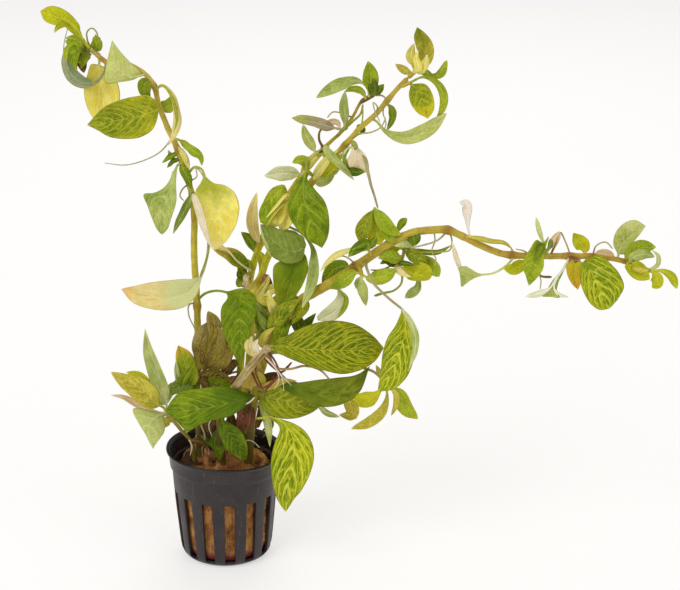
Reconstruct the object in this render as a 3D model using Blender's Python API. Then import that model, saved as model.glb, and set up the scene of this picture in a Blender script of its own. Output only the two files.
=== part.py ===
"""A potted Ludwigia: stems rooted in a rockwool plug, in a slotted net pot, and a solid for each leaf.

Metres, +Z up. The origin is the middle of the pot's foot, and -Y is the front. Positions along the plant
are given as the reference view shows them: (pixel across, pixel down, millimetres towards the back).
"""

import math
from typing import NamedTuple

import bmesh
import bpy
import numpy as np
from mathutils import Matrix, Vector

MM = 0.001
GAP = 0.35 * MM

# The reference view: a 680 x 590 picture, taken from in front and above
VIEW_MIDDLE = (340, 295)
VIEW_FOCAL = 1915
VIEW_EYE = np.array((54.2, -824.5, 420.7)) * MM
VIEW_PITCH = math.radians(19.5)

# Net pot
POT_HEIGHT = 53 * MM
LIP_RADIUS = 27.3 * MM
COLLAR_RADIUS = 25.9 * MM
COLLAR_HEIGHT = 8 * MM
WALL_TOP_RADIUS = 24.7 * MM
WALL_FOOT_RADIUS = 21.5 * MM
FOOT_RADIUS = 16.9 * MM
FOOT_CORNER = 5 * MM
WALL = 1.3 * MM
SLOTS = 14
SLOT_TURN = math.radians(7.8)
SLOT_WIDTH = 4.9 * MM
SLOT_BOTTOM = 2.2 * MM
SLOT_TOP = 33.5 * MM
LIP_TILT = 0.045

# Rockwool plug
PLUG_FOOT = WALL + GAP
PLUG_TOP = 47 * MM
PLUG_CROWN = 1.5 * MM
PLUG_FOOT_RADIUS = 19.5 * MM
PLUG_WIDEST = 21.9 * MM
PLUG_SHOULDER = 34 * MM
PLUG_TOP_RADIUS = 20.4 * MM
SOCKET_DEPTH = 5 * MM

# Leaves: a fullness under 1 rounds their outline, those broader than BROAD millimetres have five points across
# and not three, and a row creep over 1 sets their rows of points closer at the base
LEAF_THICKNESS = 0.9 * MM
STALK_WIDTH = 1.4 * MM
FULLNESS = 0.8
BROAD = 8.5
ROW_CREEP = 1.15

# Stems, and the points that a smooth path is worked out at
RING_SPACING = 11 * MM
STEM_SIDES = 6
TWIG_SIDES = 5
PATH_POINTS = 240

LEAF_COLOURS = {
    "green": (0.16, 0.27, 0.02),
    "deep": (0.08, 0.20, 0.015),
    "yellow": (0.42, 0.42, 0.05),
    "pale": (0.42, 0.50, 0.25),
    "olive": (0.30, 0.28, 0.05),
    "tan": (0.58, 0.45, 0.22),
    "brown": (0.24, 0.12, 0.04),
}
STEM_COLOUR = (0.42, 0.34, 0.05)
POT_COLOUR = (0.035, 0.032, 0.034)
ROCKWOOL_COLOUR = (0.36, 0.20, 0.08)


class Blade(NamedTuple):
    """One leaf along its midrib. Width in millimetres, angles in degrees.

    A roll of 0 turns the upper face to the viewer; the pair is for base and tip. Each half rises from the
    midrib by the fold and bends on by the curl. Belly is where along the blade it is widest, stalk the share
    of the whole length that is leaf stalk, and lean the part of the width that one half gives to the other.
    """

    seen: tuple
    width: float
    roll: tuple = (0, 0)
    fold: float = 18
    curl: float = 0
    belly: float = 0.42
    stalk: float = 0.12
    lean: float = 0


class Stem(NamedTuple):
    """A stem from its foot in the plug, in millimetres, along the points where it is seen.

    The girths are diameters at even steps from the foot to the tip. Its leaflets are part of it.
    """

    foot: tuple
    seen: tuple
    girth: tuple
    leaflets: tuple = ()
    colour: tuple = STEM_COLOUR


class Leaf(NamedTuple):
    """A leaf, or a shoot whose blades grow from a twig: what it grows on, its colour and its parts."""

    on: str
    colour: str
    blades: tuple
    twig: tuple = ()
    girth: tuple = (1.6, 1.2)


STEMS = {
    "stem_left": Stem(
        foot=(-11.5, 2),
        seen=((198, 400, 3), (198, 350, 3), (197, 305, 4), (194, 250, 5), (194, 215, 6), (192, 195, 7),
              (184, 170, 9), (177, 148, 11), (166, 124, 13), (158, 102, 15), (155, 88, 16), (147, 76, 17),
              (130, 65, 19), (106, 62, 21), (97, 55, 22), (90, 49, 22)),
        girth=(3.6, 3.3, 3.0, 2.6, 1.8),
        leaflets=(
            Blade(((151, 80, 0), (145, 84, -4), (145, 91, -6), (150, 99, -6)), 6.6, (20, -20)),
            Blade(((159, 112, 0), (164, 109, 3), (169, 104, 4), (171, 96, 4)), 7),
            Blade(((173, 137, 0), (181, 141, -3), (201, 157, -8), (202, 166, -9)), 4.8, (40, 10), 26, 0,
                  0.45, 0.2),
            Blade(((178, 152, 0), (172, 156, -3), (162, 163, -5)), 2.8, (20, 30)),
            Blade(((178, 153, 0), (171, 156, 1), (168, 150, 1)), 2.6, (10, 30)),
            Blade(((196, 186, 0), (191, 197, -5), (184, 212, -8), (173, 234, -9)), 4.0, (30, 0), 20),
        ),
    ),
    "stem_low_left": Stem(
        foot=(-14, -6),
        seen=((190, 440, -7), (182, 431, -8), (172, 419, -9), (164, 408, -10)),
        girth=(1.9, 1.6),
        leaflets=(
            Blade(((168, 413, 0), (150, 411, 4), (123, 397, 4), (110, 395, 3)), 3.6, (0, 0), 22),
        ),
    ),
    "stem_middle": Stem(
        foot=(2.5, 8),
        seen=((246, 400, 9), (250, 350, 10), (254, 305, 11), (260, 280, 12), (270, 252, 12), (285, 228, 12),
              (298, 205, 12), (312, 182, 11), (330, 160, 10), (345, 145, 9), (361, 127, 7), (375, 115, 5),
              (387, 101, 3), (399, 87, 1), (408, 78, 0)),
        girth=(3.7, 3.7, 3.6, 3.4, 3.2, 2.7, 2.4, 2.1),
        leaflets=(
            Blade(((386, 103, 0), (392, 108, 3), (393, 116, 4), (387, 131, 4)), 3.8, (30, 10)),
        ),
    ),
    "stem_back": Stem(
        foot=(7.5, 14),
        seen=((240, 390, 17), (243, 330, 19), (248, 290, 20), (254, 262, 21), (263, 238, 22),
              (276, 214, 23), (290, 192, 23), (305, 170, 23), (325, 147, 22), (343, 130, 21),
              (352, 118, 20), (364, 99, 18), (373, 94, 17)),
        girth=(3.7, 3.6, 3.5, 3.4, 3.1, 2.3, 1.7, 1.6),
        leaflets=(
            Blade(((256, 256, 0), (253, 246, 4), (248, 238, 6), (241, 232, 6)), 5, (10, 0), 14, 0, 0.5),
            Blade(((243, 345, 0), (249, 344, -4), (256, 336, -5)), 4.4, (0, 0), 6),
        ),
    ),
    "stem_right": Stem(
        foot=(10.5, -1),
        seen=((254, 400, -3), (262, 365, -4), (278, 330, -5), (300, 301, -6), (320, 289, -7),
              (348, 272, -8), (375, 253, -10), (395, 240, -11), (415, 232, -12), (432, 230, -13),
              (448, 230, -14), (460, 235, -15), (480, 245, -16), (500, 253, -17), (530, 256, -18),
              (568, 256, -19), (600, 257, -20), (627, 262, -21), (641, 267, -22), (652, 272, -22)),
        girth=(4.4, 4.4, 4.5, 4.4, 3.6, 3.1, 2.8, 1.8),
        leaflets=(
            Blade(((412, 232, 0), (414, 238, -2), (415, 246, -3)), 6.4, (0, 10), 12, 0, 0.4, 0.1),
            Blade(((462, 236, 0), (478, 238, -4), (505, 243, -5), (514, 251, -4)), 2.6, (10, 20)),
            Blade(((528, 256, 0), (522, 264, -4), (513, 269, -6), (503, 268, -7)), 6, (10, 0), 14, 0, 0.5,
                  0.16),
            Blade(((551, 256, 0), (556, 243, -1), (560, 232, -1), (570, 254, -1)), 3.2, (10, 10), 12, 0,
                  0.6),
            Blade(((592, 257, 0), (598, 253, 2), (607, 254, 3), (616, 260, 4)), 4, (0, 0), 12, 0, 0.5),
            Blade(((586, 256, 0), (584, 248, 3), (579, 241, 4), (573, 233, 4)), 7, (10, 0), 16, 0, 0.45),
            Blade(((296, 306, 0), (297, 320, 5), (302, 329, 6), (316, 313, 8)), 6.5, (10, 10)),
            Blade(((471, 240, 0), (468, 228, 3), (466, 204, 5), (459, 202, 5)), 4.6, (20, 0), 18, 0, 0.7),
            Blade(((254, 404, 0), (261, 405, -3), (267, 420, -5), (270, 447, -5)), 4.2, (20, 0), 20, 0, 0.4),
            Blade(((352, 269, 0), (344, 266, 4), (336, 268, 5), (328, 275, 6), (322, 284, 6)), 7, (10, 0),
                  14),
        ),
    ),
    "dry_stem": Stem(
        foot=(-1, -7),
        seen=((226, 400, -10), (238, 383, -12), (250, 367, -14), (262, 354, -15), (270, 346, -16)),
        girth=(3.6, 3.8),
        leaflets=(
            Blade(((230, 395, 0), (242, 401, 1), (243, 413, 2), (239, 428, 2)), 6, (10, 0), 16, 0, 0.5),
            Blade(((238, 383, 0), (245, 384, 3), (253, 375, 3), (258, 360, 3)), 8.6, (10, 10), 14, 0, 0.5),
        ),
        colour=(0.45, 0.3, 0.15),
    ),
}

LEAVES = {
    # Left stem, from its tip down
    "leaf_left_tip": Leaf("stem_left", "yellow", (
        Blade(((83, 40, 0), (78, 31, -2), (69, 21, -4), (40, 11, -7)), 9.6, (0, 0), 8, 0, 0.5, 0.16),
        Blade(((71, 22, 0), (64, 23, -2), (58, 27, -3), (54, 33, -3)), 4.4, (-20, 0), 10, 0, 0.4, 0.0),
    ), twig=((90, 49, 0), (86, 44, 0), (82, 38, -1)), girth=(1.8, 1.5)),
    "bud_left_tip": Leaf("stem_left", "deep", (
        Blade(((93, 51, 0), (96, 44, 1), (95, 34, 2)), 5, (30, 60), 10, 30),
        Blade(((90, 51, 0), (79, 45, 1), (65, 41, 2)), 7, (-20, 10), 10),
        Blade(((88, 51, 0), (79, 57, -8), (67, 60, -9)), 7.4, (10, 30), 12),
        Blade(((84, 51, 0), (82, 62, -7), (84, 73, -8)), 6, (40, 10), 10),
    ), twig=((99, 57, 0), (98, 54, 4), (92, 51, 5), (84, 51, 4)), girth=(1.8, 1.6)),
    "leaf_left_cupped": Leaf("stem_left", "pale", (
        Blade(((105, 62, 0), (104, 72, 0), (95, 82, 0), (84, 83, 1), (73, 76, 2), (67, 64, 3), (66, 46, 3),
              (68, 28, 2)), 6.6, (165, 190), 14, 10, 0.32, 0.28),
    )),
    "leaf_left_pale": Leaf("stem_left", "pale", (
        Blade(((145, 74, 0), (131, 77, -4), (117, 67, -6), (112, 40, -6)), 16, (185, 185), 8, 0, 0.5, 0.08),
    )),
    "leaf_left_yellow": Leaf("stem_left", "yellow", (
        Blade(((99, 57, 0), (99, 76, 3), (103, 100, 5), (102, 126, 4)), 16, (-5, 5), 14, 0, 0.5),
    )),
    "leaf_left_veined": Leaf("stem_left", "green", (
        Blade(((158, 103, 0), (158, 109, -5), (136, 117, -9), (102, 124, -13), (87, 125, -12)), 20.5,
              (-10, 10), 12, 6, 0.4, 0.05),
    )),
    "leaf_left_long": Leaf("stem_left", "olive", (
        Blade(((156, 88, 0), (163, 85, -2), (172, 94, -3), (177, 110, -4), (177, 124, -6), (172, 137, -9),
              (160, 152, -11), (145, 160, -12), (126, 165, -12), (104, 163, -10)), 3.4, (60, 30), 24, 0,
              0.32, 0.08),
    )),
    "leaf_left_hanging": Leaf("stem_left", "green", (
        Blade(((180, 163, 0), (175, 168, -5), (164, 206, -11), (162, 235, -10)), 16, (8, -10), 20, 0, 0.36,
              0.1, 0.3),
    )),
    "leaf_left_round": Leaf("stem_left", "yellow", (
        Blade(((186, 176, 0), (196, 167, -4), (202, 170, -7), (216, 203, -12), (221, 226, -13),
              (215, 250, -11)), 18.5, (10, -8), 8, 14, 0.45, 0.3),
    )),
    "leaf_left_tan": Leaf("stem_left", "tan", (
        Blade(((194, 203, 0), (203, 211, -4), (209, 234, -6), (207, 258, -7), (199, 280, -9),
              (184, 293, -11), (163, 297, -13), (140, 295, -14), (121, 289, -13)), 14.5, (14, 8), 14, 0,
              0.42, 0.48),
    )),
    "leaf_left_broad": Leaf("stem_left", "deep", (
        Blade(((197, 301, 0), (206, 293, -4), (221, 291, -9), (236, 297, -13), (240, 320, -16),
              (240, 366, -14)), 17.5, (6, -10), 20, 0, 0.36, 0.34),
    )),
    "leaf_left_wrinkled": Leaf("stem_left", "brown", (
        Blade(((206, 370, 0), (209, 360, -3), (212, 343, -4), (207, 322, -3)), 17, (10, -20), 16, 0, 0.45,
              0.04),
        Blade(((205, 368, 0), (209, 346, -5), (214, 328, -5), (208, 311, -3)), 7, (30, 20), 16, 0, 0.75,
              0.2),
    ), twig=((198, 374, 0), (203, 372, -5), (207, 366, -7)), girth=(1.8, 1.8)),
    # Low left shoot
    "leaf_low_upright": Leaf("stem_low_left", "pale", (
        Blade(((168, 413, 0), (165, 395, 4), (149, 347, 8), (145, 328, 8)), 9, (20, 0), 22, 0, 0.45, 0.1),
    )),
    "leaf_low_olive": Leaf("stem_low_left", "olive", (
        Blade(((164, 408, 0), (152, 400, -4), (139, 389, -7), (111, 372, -9)), 11.5, (10, 0), 20, 0, 0.4,
              0.1),
    )),
    "leaf_low_pale": Leaf("stem_low_left", "pale", (
        Blade(((169, 415, 0), (158, 416, -5), (150, 424, -8), (150, 436, -9), (153, 449, -8)), 12.5,
              (185, 190), 16, 0, 0.4),
    )),
    "leaf_low_back": Leaf("stem_left", "yellow", (
        Blade(((189, 391, 0), (188, 378, 0), (184, 361, 1), (178, 345, 2)), 9.4, (-10, 10), 16, 0, 0.5,
              0.08),
        Blade(((188, 391, 0), (179, 386, 0), (170, 392, 0), (168, 403, -1)), 5.5, (10, 10), 16),
    ), twig=((198, 400, 0), (193, 394, -4), (186, 389, -5)), girth=(1.8, 1.6)),
    "leaf_low_broad": Leaf("stem_right", "green", (
        Blade(((254, 396, 0), (245, 399, -12), (230, 403, -16), (184, 411, -19), (165, 412, -17)), 20.5,
              (4, -10), 14, 6, 0.5, 0.06),
    )),
    # Middle stems, from below upwards
    "leaves_middle_low": Leaf("stem_middle", "green", (
        Blade(((258, 336, 0), (270, 332, -2), (283, 318, -4), (297, 299, -5)), 11, (20, -10)),
        Blade(((258, 335, 0), (264, 322, -2), (262, 315, -3), (256, 308, -3)), 6.5, (-20, 10)),
        Blade(((258, 335, 0), (267, 318, 2), (275, 303, 3), (282, 291, 3)), 7.5, (20, 0), 14),
    ), twig=((251, 345, 0), (254, 341, -4), (259, 334, -5)), girth=(2.2, 2.0)),
    "leaf_middle_fork": Leaf("stem_right", "pale", (
        Blade(((322, 288, 0), (339, 289, 5), (345, 296, 5), (338, 308, 0), (318, 321, -3)), 9, (10, -10),
              16, 0, 0.5, 0.3),
    )),
    "leaf_middle_curled": Leaf("stem_back", "green", (
        Blade(((251, 272, 0), (243, 264, -3), (230, 256, -5), (213, 249, -5)), 8, (10, 30), 20, 0, 0.45),
        Blade(((249, 275, 0), (243, 272, 0), (238, 266, 0)), 4.5, (10, 0), 10),
        Blade(((248, 279, 0), (242, 281, 0), (237, 287, 0)), 5, (10, 0), 10),
    ), twig=((249, 285, 0), (246, 281, -4), (251, 271, -6)), girth=(2.4, 2.0)),
    "leaf_middle_pink": Leaf("stem_back", "tan", (
        Blade(((261, 243, 0), (256, 236, -4), (252, 222, -6), (257, 192, -5)), 5.8, (10, 0), 20, 0, 0.45,
              0.08),
    )),
    "leaf_middle_bright": Leaf("stem_middle", "yellow", (
        Blade(((291, 198, 0), (281, 189, -3), (269, 202, -5), (260, 223, -5)), 11, (-10, 10), 14, 0, 0.5,
              0.08),
        Blade(((291, 199, 0), (283, 204, -3), (275, 213, -4), (266, 228, -1)), 11, (10, -10), 20, 0, 0.5),
    ), twig=((304, 196, 0), (298, 195, -4), (290, 198, -5)), girth=(1.8, 1.6)),
    "leaf_middle_dark": Leaf("stem_middle", "deep", (
        Blade(((316, 178, 0), (306, 171, -7), (303, 186, -12), (305, 205, -16), (322, 248, -15)), 19.5,
              (-6, 10), 16, 0, 0.46, 0.14),
    )),
    "leaf_middle_grey": Leaf("stem_middle", "pale", (
        Blade(((283, 231, 0), (297, 234, -7), (305, 246, -11), (293, 252, -13), (276, 243, -13),
              (260, 224, -11)), 13, (185, 185), 10, 0, 0.4, 0.4),
    )),
    "leaf_middle_green": Leaf("stem_middle", "green", (
        Blade(((277, 241, 0), (289, 245, -5), (295, 257, -8), (289, 287, -10), (282, 308, -8)), 16,
              (10, -10), 16, 0, 0.5, 0.2),
    )),
    "leaf_middle_strip": Leaf("stem_middle", "pale", (
        Blade(((286, 226, 0), (301, 233, 1), (312, 246, -3), (314, 266, -12), (311, 286, -22),
              (302, 308, -26)), 5.5, (30, 0), 20, 0, 0.6, 0.2),
    )),
    # Top of the middle stems
    "leaf_upper_pale": Leaf("stem_back", "pale", (
        Blade(((305, 176, 0), (293, 173, -1), (278, 173, -2), (264, 176, -3)), 7.6, (-20, -20), 16),
        Blade(((306, 171, 0), (305, 162, 0), (299, 160, -1), (292, 163, -2)), 5, (10, 0), 14),
    ), twig=((305, 170, 0), (306, 172, -5), (303, 177, -6)), girth=(1.6, 1.6)),
    "leaf_upper_olive": Leaf("stem_back", "olive", (
        Blade(((319, 153, 0), (323, 148, -5), (319, 139, -5), (320, 131, -4), (325, 127, -3)), 2.2, (0, 0),
              6),
        Blade(((318, 154, 0), (323, 147, -4), (330, 155, -13), (354, 180, -18)), 4.2, (0, -10), 20, 0, 0.5),
        Blade(((317, 155, 0), (312, 146, 0), (306, 135, 0), (303, 124, 1)), 4.8, (0, -10)),
    ), twig=((321, 151, 0), (320, 152, -5), (316, 155, -6)), girth=(1.8, 1.6)),
    "leaf_upper_left": Leaf("stem_back", "tan", (
        Blade(((341, 129, 0), (328, 126, -2), (309, 121, -3), (291, 118, -3)), 4.8, (20, -10), 18, 0, 0.4),
        Blade(((344, 129, 0), (345, 120, -2), (344, 107, -3), (345, 91, -4)), 4.6, (0, -10), 22, 0, 0.5),
        Blade(((341, 129, 0), (336, 122, 1), (329, 123, 1), (322, 127, 1)), 3, (10, 10), 16),
    ), twig=((347, 126, 0), (345, 129, -5), (339, 130, -5)), girth=(1.8, 1.6)),
    "leaf_upper_tan": Leaf("stem_middle", "tan", (
        Blade(((350, 147, 0), (357, 147, -2), (358, 159, -3), (359, 174, -3)), 10.5, (10, -10), 16, 0, 0.5,
              0.1),
        Blade(((349, 149, 0), (345, 158, -4), (348, 170, -5), (365, 172, -5)), 4, (0, -20), 14, 0, 0.7),
        Blade(((351, 147, 0), (364, 157, -4), (371, 185, -5), (378, 209, -4)), 2.4, (10, 10), 12, 0, 0.5),
    ), twig=((343, 147, 0), (347, 149, -5), (353, 146, -5)), girth=(1.8, 1.6)),
    "leaves_twig": Leaf("stem_back", "green", (
        Blade(((369, 97, 0), (367, 87, -1), (357, 81, -2), (342, 84, -3), (316, 98, -4)), 6.2, (20, 0), 22,
              0, 0.5, 0.26),
        Blade(((366, 99, 0), (361, 91, 0), (352, 89, 0), (344, 92, 0)), 3.2, (20, 0), 14),
        Blade(((373, 96, 0), (371, 84, -2), (370, 73, -3), (368, 61, -3)), 7.6, (-10, 10), 18, 0, 0.5, 0.1),
        Blade(((374, 96, 0), (378, 91, 1), (384, 84, 2)), 3.6, (10, 10), 12),
    ), twig=((362, 103, 0), (364, 101, -4), (375, 95, -4)), girth=(1.7, 1.6)),
    "leaf_upper_long": Leaf("stem_middle", "green", (
        Blade(((372, 118, 0), (377, 122, -4), (386, 131, -7), (402, 137, -9), (424, 131, -10),
              (447, 113, -9)), 7.4, (30, 0), 22, 0, 0.6),
    )),
    "leaf_tip_olive": Leaf("stem_middle", "olive", (
        Blade(((415, 72, 0), (422, 62, -2), (424, 46, -4), (417, 27, -4)), 10.5, (10, -10), 22, 0, 0.45,
              0.06),
        Blade(((413, 73, 0), (406, 71, 2), (401, 68, 3), (395, 64, 3)), 3.6, (0, 10), 14),
        Blade(((416, 72, 0), (427, 75, 3), (438, 75, 4), (447, 60, 4)), 4.2, (10, 30), 14, 0, 0.7),
        Blade(((413, 73, 0), (415, 62, -2), (411, 57, -3), (414, 43, -3)), 5, (20, 0), 14),
    ), twig=((408, 78, 0), (411, 75, 0), (417, 70, 0)), girth=(2.2, 1.9)),
    "leaf_tip_hanging": Leaf("stem_middle", "yellow", (
        Blade(((409, 83, 0), (418, 90, -3), (424, 103, -4), (428, 119, -3)), 12, (-10, 10), 16, 0, 0.45,
              0.06),
        Blade(((409, 83, 0), (424, 77, 2), (438, 84, 3), (444, 98, 2), (442, 110, 1), (436, 120, 1)), 4,
              (0, 0), 22, 0, 0.6),
    ), twig=((401, 85, 0), (403, 86, -4), (411, 82, -5)), girth=(1.7, 1.6)),
    # Right stem, outwards
    "leaves_right_crown": Leaf("stem_right", "green", (
        Blade(((374, 209, 0), (369, 217, -3), (364, 229, -6), (361, 244, -8)), 7.4, (10, 20), 20, 0, 0.6,
              0.04),
        Blade(((375, 208, 0), (381, 219, -4), (389, 228, -6), (401, 235, -7)), 7, (-10, 10), 20, 0, 0.5,
              0.02),
        Blade(((391, 238, 0), (398, 230, -2), (402, 223, -2), (407, 218, -2)), 3.6, (0, 0), 12, 0, 0.7, 0.2),
    ), twig=((392, 242, 0), (391, 236, 5), (382, 222, 5), (374, 207, 4)), girth=(2.0, 1.7)),
    "leaf_right_strand": Leaf("stem_right", "olive", (
        Blade(((367, 251, 0), (352, 250, -1), (337, 255, -2), (320, 272, -2)), 2.8, (10, 10), 10, 0, 0.5),
        Blade(((370, 249, 0), (374, 240, -4), (377, 236, -5)), 4, (10, 10), 14),
        Blade(((370, 249, 0), (366, 244, -4), (358, 248, -5), (348, 257, -5)), 5.4, (10, 10), 14),
    ), twig=((371, 256, 0), (371, 252, -4), (365, 249, -5)), girth=(1.7, 1.6)),
    "leaves_right_below": Leaf("stem_right", "green", (
        Blade(((361, 274, 0), (354, 273, -1), (344, 280, -3), (331, 288, -3)), 6.6, (10, -10), 16, 0, 0.5),
        Blade(((363, 276, 0), (362, 285, -1), (364, 295, -2), (366, 306, -1)), 5, (20, 0), 20, 0, 0.3),
        Blade(((362, 274, 0), (368, 278, 0), (382, 276, -1), (397, 269, -1)), 7.4, (0, 20), 14, 0, 0.5),
    ), twig=((358, 265, 0), (360, 269, -4), (362, 276, -5)), girth=(2.2, 2.0)),
    "leaves_right_cluster": Leaf("stem_right", "green", (
        Blade(((400, 267, 0), (409, 272, -4), (421, 275, -6), (433, 273, -6)), 9, (10, -10), 16, 0, 0.5,
              0.08),
        Blade(((404, 250, 0), (400, 248, 0), (390, 251, 2), (379, 258, 3)), 6, (10, 0), 14, 0, 0.45),
        Blade(((404, 252, 0), (418, 256, -4), (430, 263, -6), (439, 277, -6)), 6, (0, 10), 16, 0, 0.7),
        Blade(((401, 265, 0), (414, 268, 1), (418, 276, 1), (418, 287, 0), (405, 298, 0)), 4.6, (10, 10),
              20, 0, 0.72, 0.3),
        Blade(((404, 248, 0), (419, 251, 0), (438, 252, -1), (452, 245, -2)), 2.6, (10, 10), 12),
        Blade(((400, 266, 0), (402, 274, -1), (401, 284, -1), (393, 291, -1), (374, 296, -1)), 2.0,
              (10, 10), 12),
    ), twig=((403, 236, 0), (405, 244, 5), (403, 256, 5), (399, 268, 4)), girth=(2.0, 2.0)),
    "leaf_right_triangle": Leaf("stem_right", "pale", (
        Blade(((514, 255, 0), (507, 265, -3), (494, 273, -6), (463, 276, -9), (452, 241, -9)), 2.6,
              (10, 10), 18, 0, 0.5, 0.62),
    )),
    "leaf_right_green": Leaf("stem_right", "green", (
        Blade(((545, 250, 0), (543, 244, -1), (532, 270, -5), (529, 286, -3)), 12, (-10, 10), 20, 0, 0.4,
              0.14),
        Blade(((545, 250, 0), (543, 242, 1), (539, 230, 1), (536, 217, 2)), 2.6, (0, 0), 16, 0, 0.6),
    ), twig=((547, 256, 0), (546, 254, -5), (545, 248, -6)), girth=(1.8, 1.7)),
    "leaf_right_flared": Leaf("stem_right", "pale", (
        Blade(((569, 258, 0), (564, 268, -4), (556, 278, -6), (549, 297, -7)), 6.6, (10, 10), 12, 0, 0.7,
              0.2),
    )),
    "leaf_right_orange": Leaf("stem_right", "yellow", (
        Blade(((577, 257, 0), (575, 266, -4), (574, 278, -5), (578, 290, -4)), 8, (-10, 10), 18, 0, 0.45,
              0.06),
    )),
    "leaf_right_veined": Leaf("stem_right", "green", (
        Blade(((587, 256, 0), (589, 265, -7), (594, 278, -11), (609, 309, -12)), 20.5, (-8, 8), 12, 4, 0.42,
              0.06),
    )),
    "leaf_right_grey": Leaf("stem_right", "pale", (
        Blade(((617, 260, 0), (620, 248, 3), (629, 236, 5), (646, 226, 6)), 13.5, (-10, 10), 20, 0, 0.42,
              0.14, 0.1),
    )),
    "leaves_right_tip": Leaf("stem_right", "green", (
        Blade(((640, 266, 0), (630, 256, 1), (640, 248, 3), (656, 247, 4)), 7.6, (10, 0), 16, 0, 0.5),
        Blade(((637, 264, 0), (630, 264, -3), (638, 271, -4), (650, 279, -4)), 8, (-10, 0), 16, 0, 0.5),
        Blade(((650, 271, 0), (656, 276, -1), (657, 283, -2), (652, 288, -2)), 5.8, (10, 0), 14, 0, 0.5),
        Blade(((650, 271, 0), (662, 271, 1), (671, 276, 1), (677, 289, 1)), 4, (-10, 0), 18, 0, 0.6),
        Blade(((648, 270, 0), (658, 264, 3), (658, 256, 4), (652, 250, 4)), 2.6, (10, 10), 12),
    ), twig=((631, 263, 0), (634, 264, -4), (643, 267, -5), (652, 272, -5)), girth=(1.8, 1.8)),
    # Centre and front
    "leaf_front_variegated": Leaf("stem_right", "yellow", (
        Blade(((366, 260, 0), (367, 269, -10), (372, 281, -14), (385, 295, -15), (402, 309, -15),
              (405, 321, -17), (402, 344, -18), (394, 368, -18), (378, 392, -15)), 18, (-8, 8), 18, 0, 0.42,
              0.42),
    )),
    "leaves_front_tip": Leaf("dry_stem", "olive", (
        Blade(((384, 385, 0), (375, 395, 0), (365, 402, 1), (353, 399, 2)), 7.5, (20, 30), 14, 0, 0.5),
        Blade(((386, 384, 0), (387, 398, -3), (382, 412, -4), (370, 422, -4), (351, 429, -4)), 5.6,
              (10, 10), 20, 0, 0.55),
        Blade(((387, 385, 0), (396, 394, -1), (396, 405, -1), (391, 416, -1)), 3, (10, 0), 14),
        Blade(((387, 385, 0), (399, 393, 1), (405, 407, 1), (418, 419, 1)), 7.4, (0, 0), 18, 0, 0.5),
    ), twig=((262, 354, 0), (280, 352, 3), (306, 355, 4), (334, 362, 4), (360, 367, 4), (374, 372, 1),
          (388, 386, -2)), girth=(2.0, 1.6)),
    "leaf_centre_veined": Leaf("dry_stem", "green", (
        Blade(((270, 346, 0), (282, 346, -3), (304, 349, -5), (356, 350, -5), (384, 348, -2)), 25, (6, -8),
              12, 4, 0.56, 0.04),
    )),
    "leaf_centre_back": Leaf("stem_right", "deep", (
        Blade(((262, 383, 0), (280, 384, -13), (300, 390, -16), (323, 393, -15), (346, 388, -15),
              (370, 366, -15)), 14.5, (2, 5), 10, 0, 0.6, 0.2),
        Blade(((264, 383, 0), (300, 395, 3), (326, 401, 4), (346, 398, 4), (352, 415, 4), (339, 415, 3)),
              6.6, (10, 0), 12, 0, 0.5, 0.62),
    ), twig=((258, 381, 0), (261, 382, 4), (268, 384, 5)), girth=(1.8, 1.8)),
    "leaf_centre_variegated": Leaf("stem_right", "green", (
        Blade(((256, 391, 0), (266, 397, -6), (303, 403, -7), (326, 403, -5)), 18.5, (-8, 10), 12, 0, 0.46,
              0.06),
    )),
    "leaf_front_veined": Leaf("stem_right", "yellow", (
        Blade(((251, 418, 0), (262, 418, -10), (274, 417, -17), (284, 423, -21), (293, 438, -23),
              (293, 458, -25), (288, 486, -25), (286, 512, -22)), 20, (6, -8), 14, 0, 0.42, 0.24),
    )),
    "leaf_pot_green": Leaf("dry_stem", "green", (
        Blade(((224, 412, 0), (222, 421, -3), (233, 439, -6), (246, 460, -6)), 10.5, (0, 0), 18, 0, 0.5),
    )),
}


def clear_scene():
    """Remove what a new file holds."""
    for old in list(bpy.data.objects):
        bpy.data.objects.remove(old, do_unlink=True)


def unit(vectors):
    """Scale each row to length one."""
    return vectors / np.linalg.norm(vectors, axis=-1, keepdims=True)


def on_ray(point):
    """Where the ray through a pixel of the reference view meets the upright plane at a depth in mm."""
    across, down, depth = point
    ahead = np.array((0, math.cos(VIEW_PITCH), -math.sin(VIEW_PITCH)))
    up = np.array((0, math.sin(VIEW_PITCH), math.cos(VIEW_PITCH)))
    ray = np.array((across - VIEW_MIDDLE[0], 0, 0)) + up * (VIEW_MIDDLE[1] - down) + ahead * VIEW_FOCAL
    return VIEW_EYE + ray * (depth * MM - VIEW_EYE[1]) / ray[1]


def in_picture(points):
    """The pixel where the reference view shows each point."""
    offset = points - VIEW_EYE
    ahead = offset[:, 1] * math.cos(VIEW_PITCH) - offset[:, 2] * math.sin(VIEW_PITCH)
    up = offset[:, 1] * math.sin(VIEW_PITCH) + offset[:, 2] * math.cos(VIEW_PITCH)
    across = VIEW_MIDDLE[0] + VIEW_FOCAL * offset[:, 0] / ahead
    down = VIEW_MIDDLE[1] - VIEW_FOCAL * up / ahead
    return np.stack((across, down), axis=1)


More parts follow.
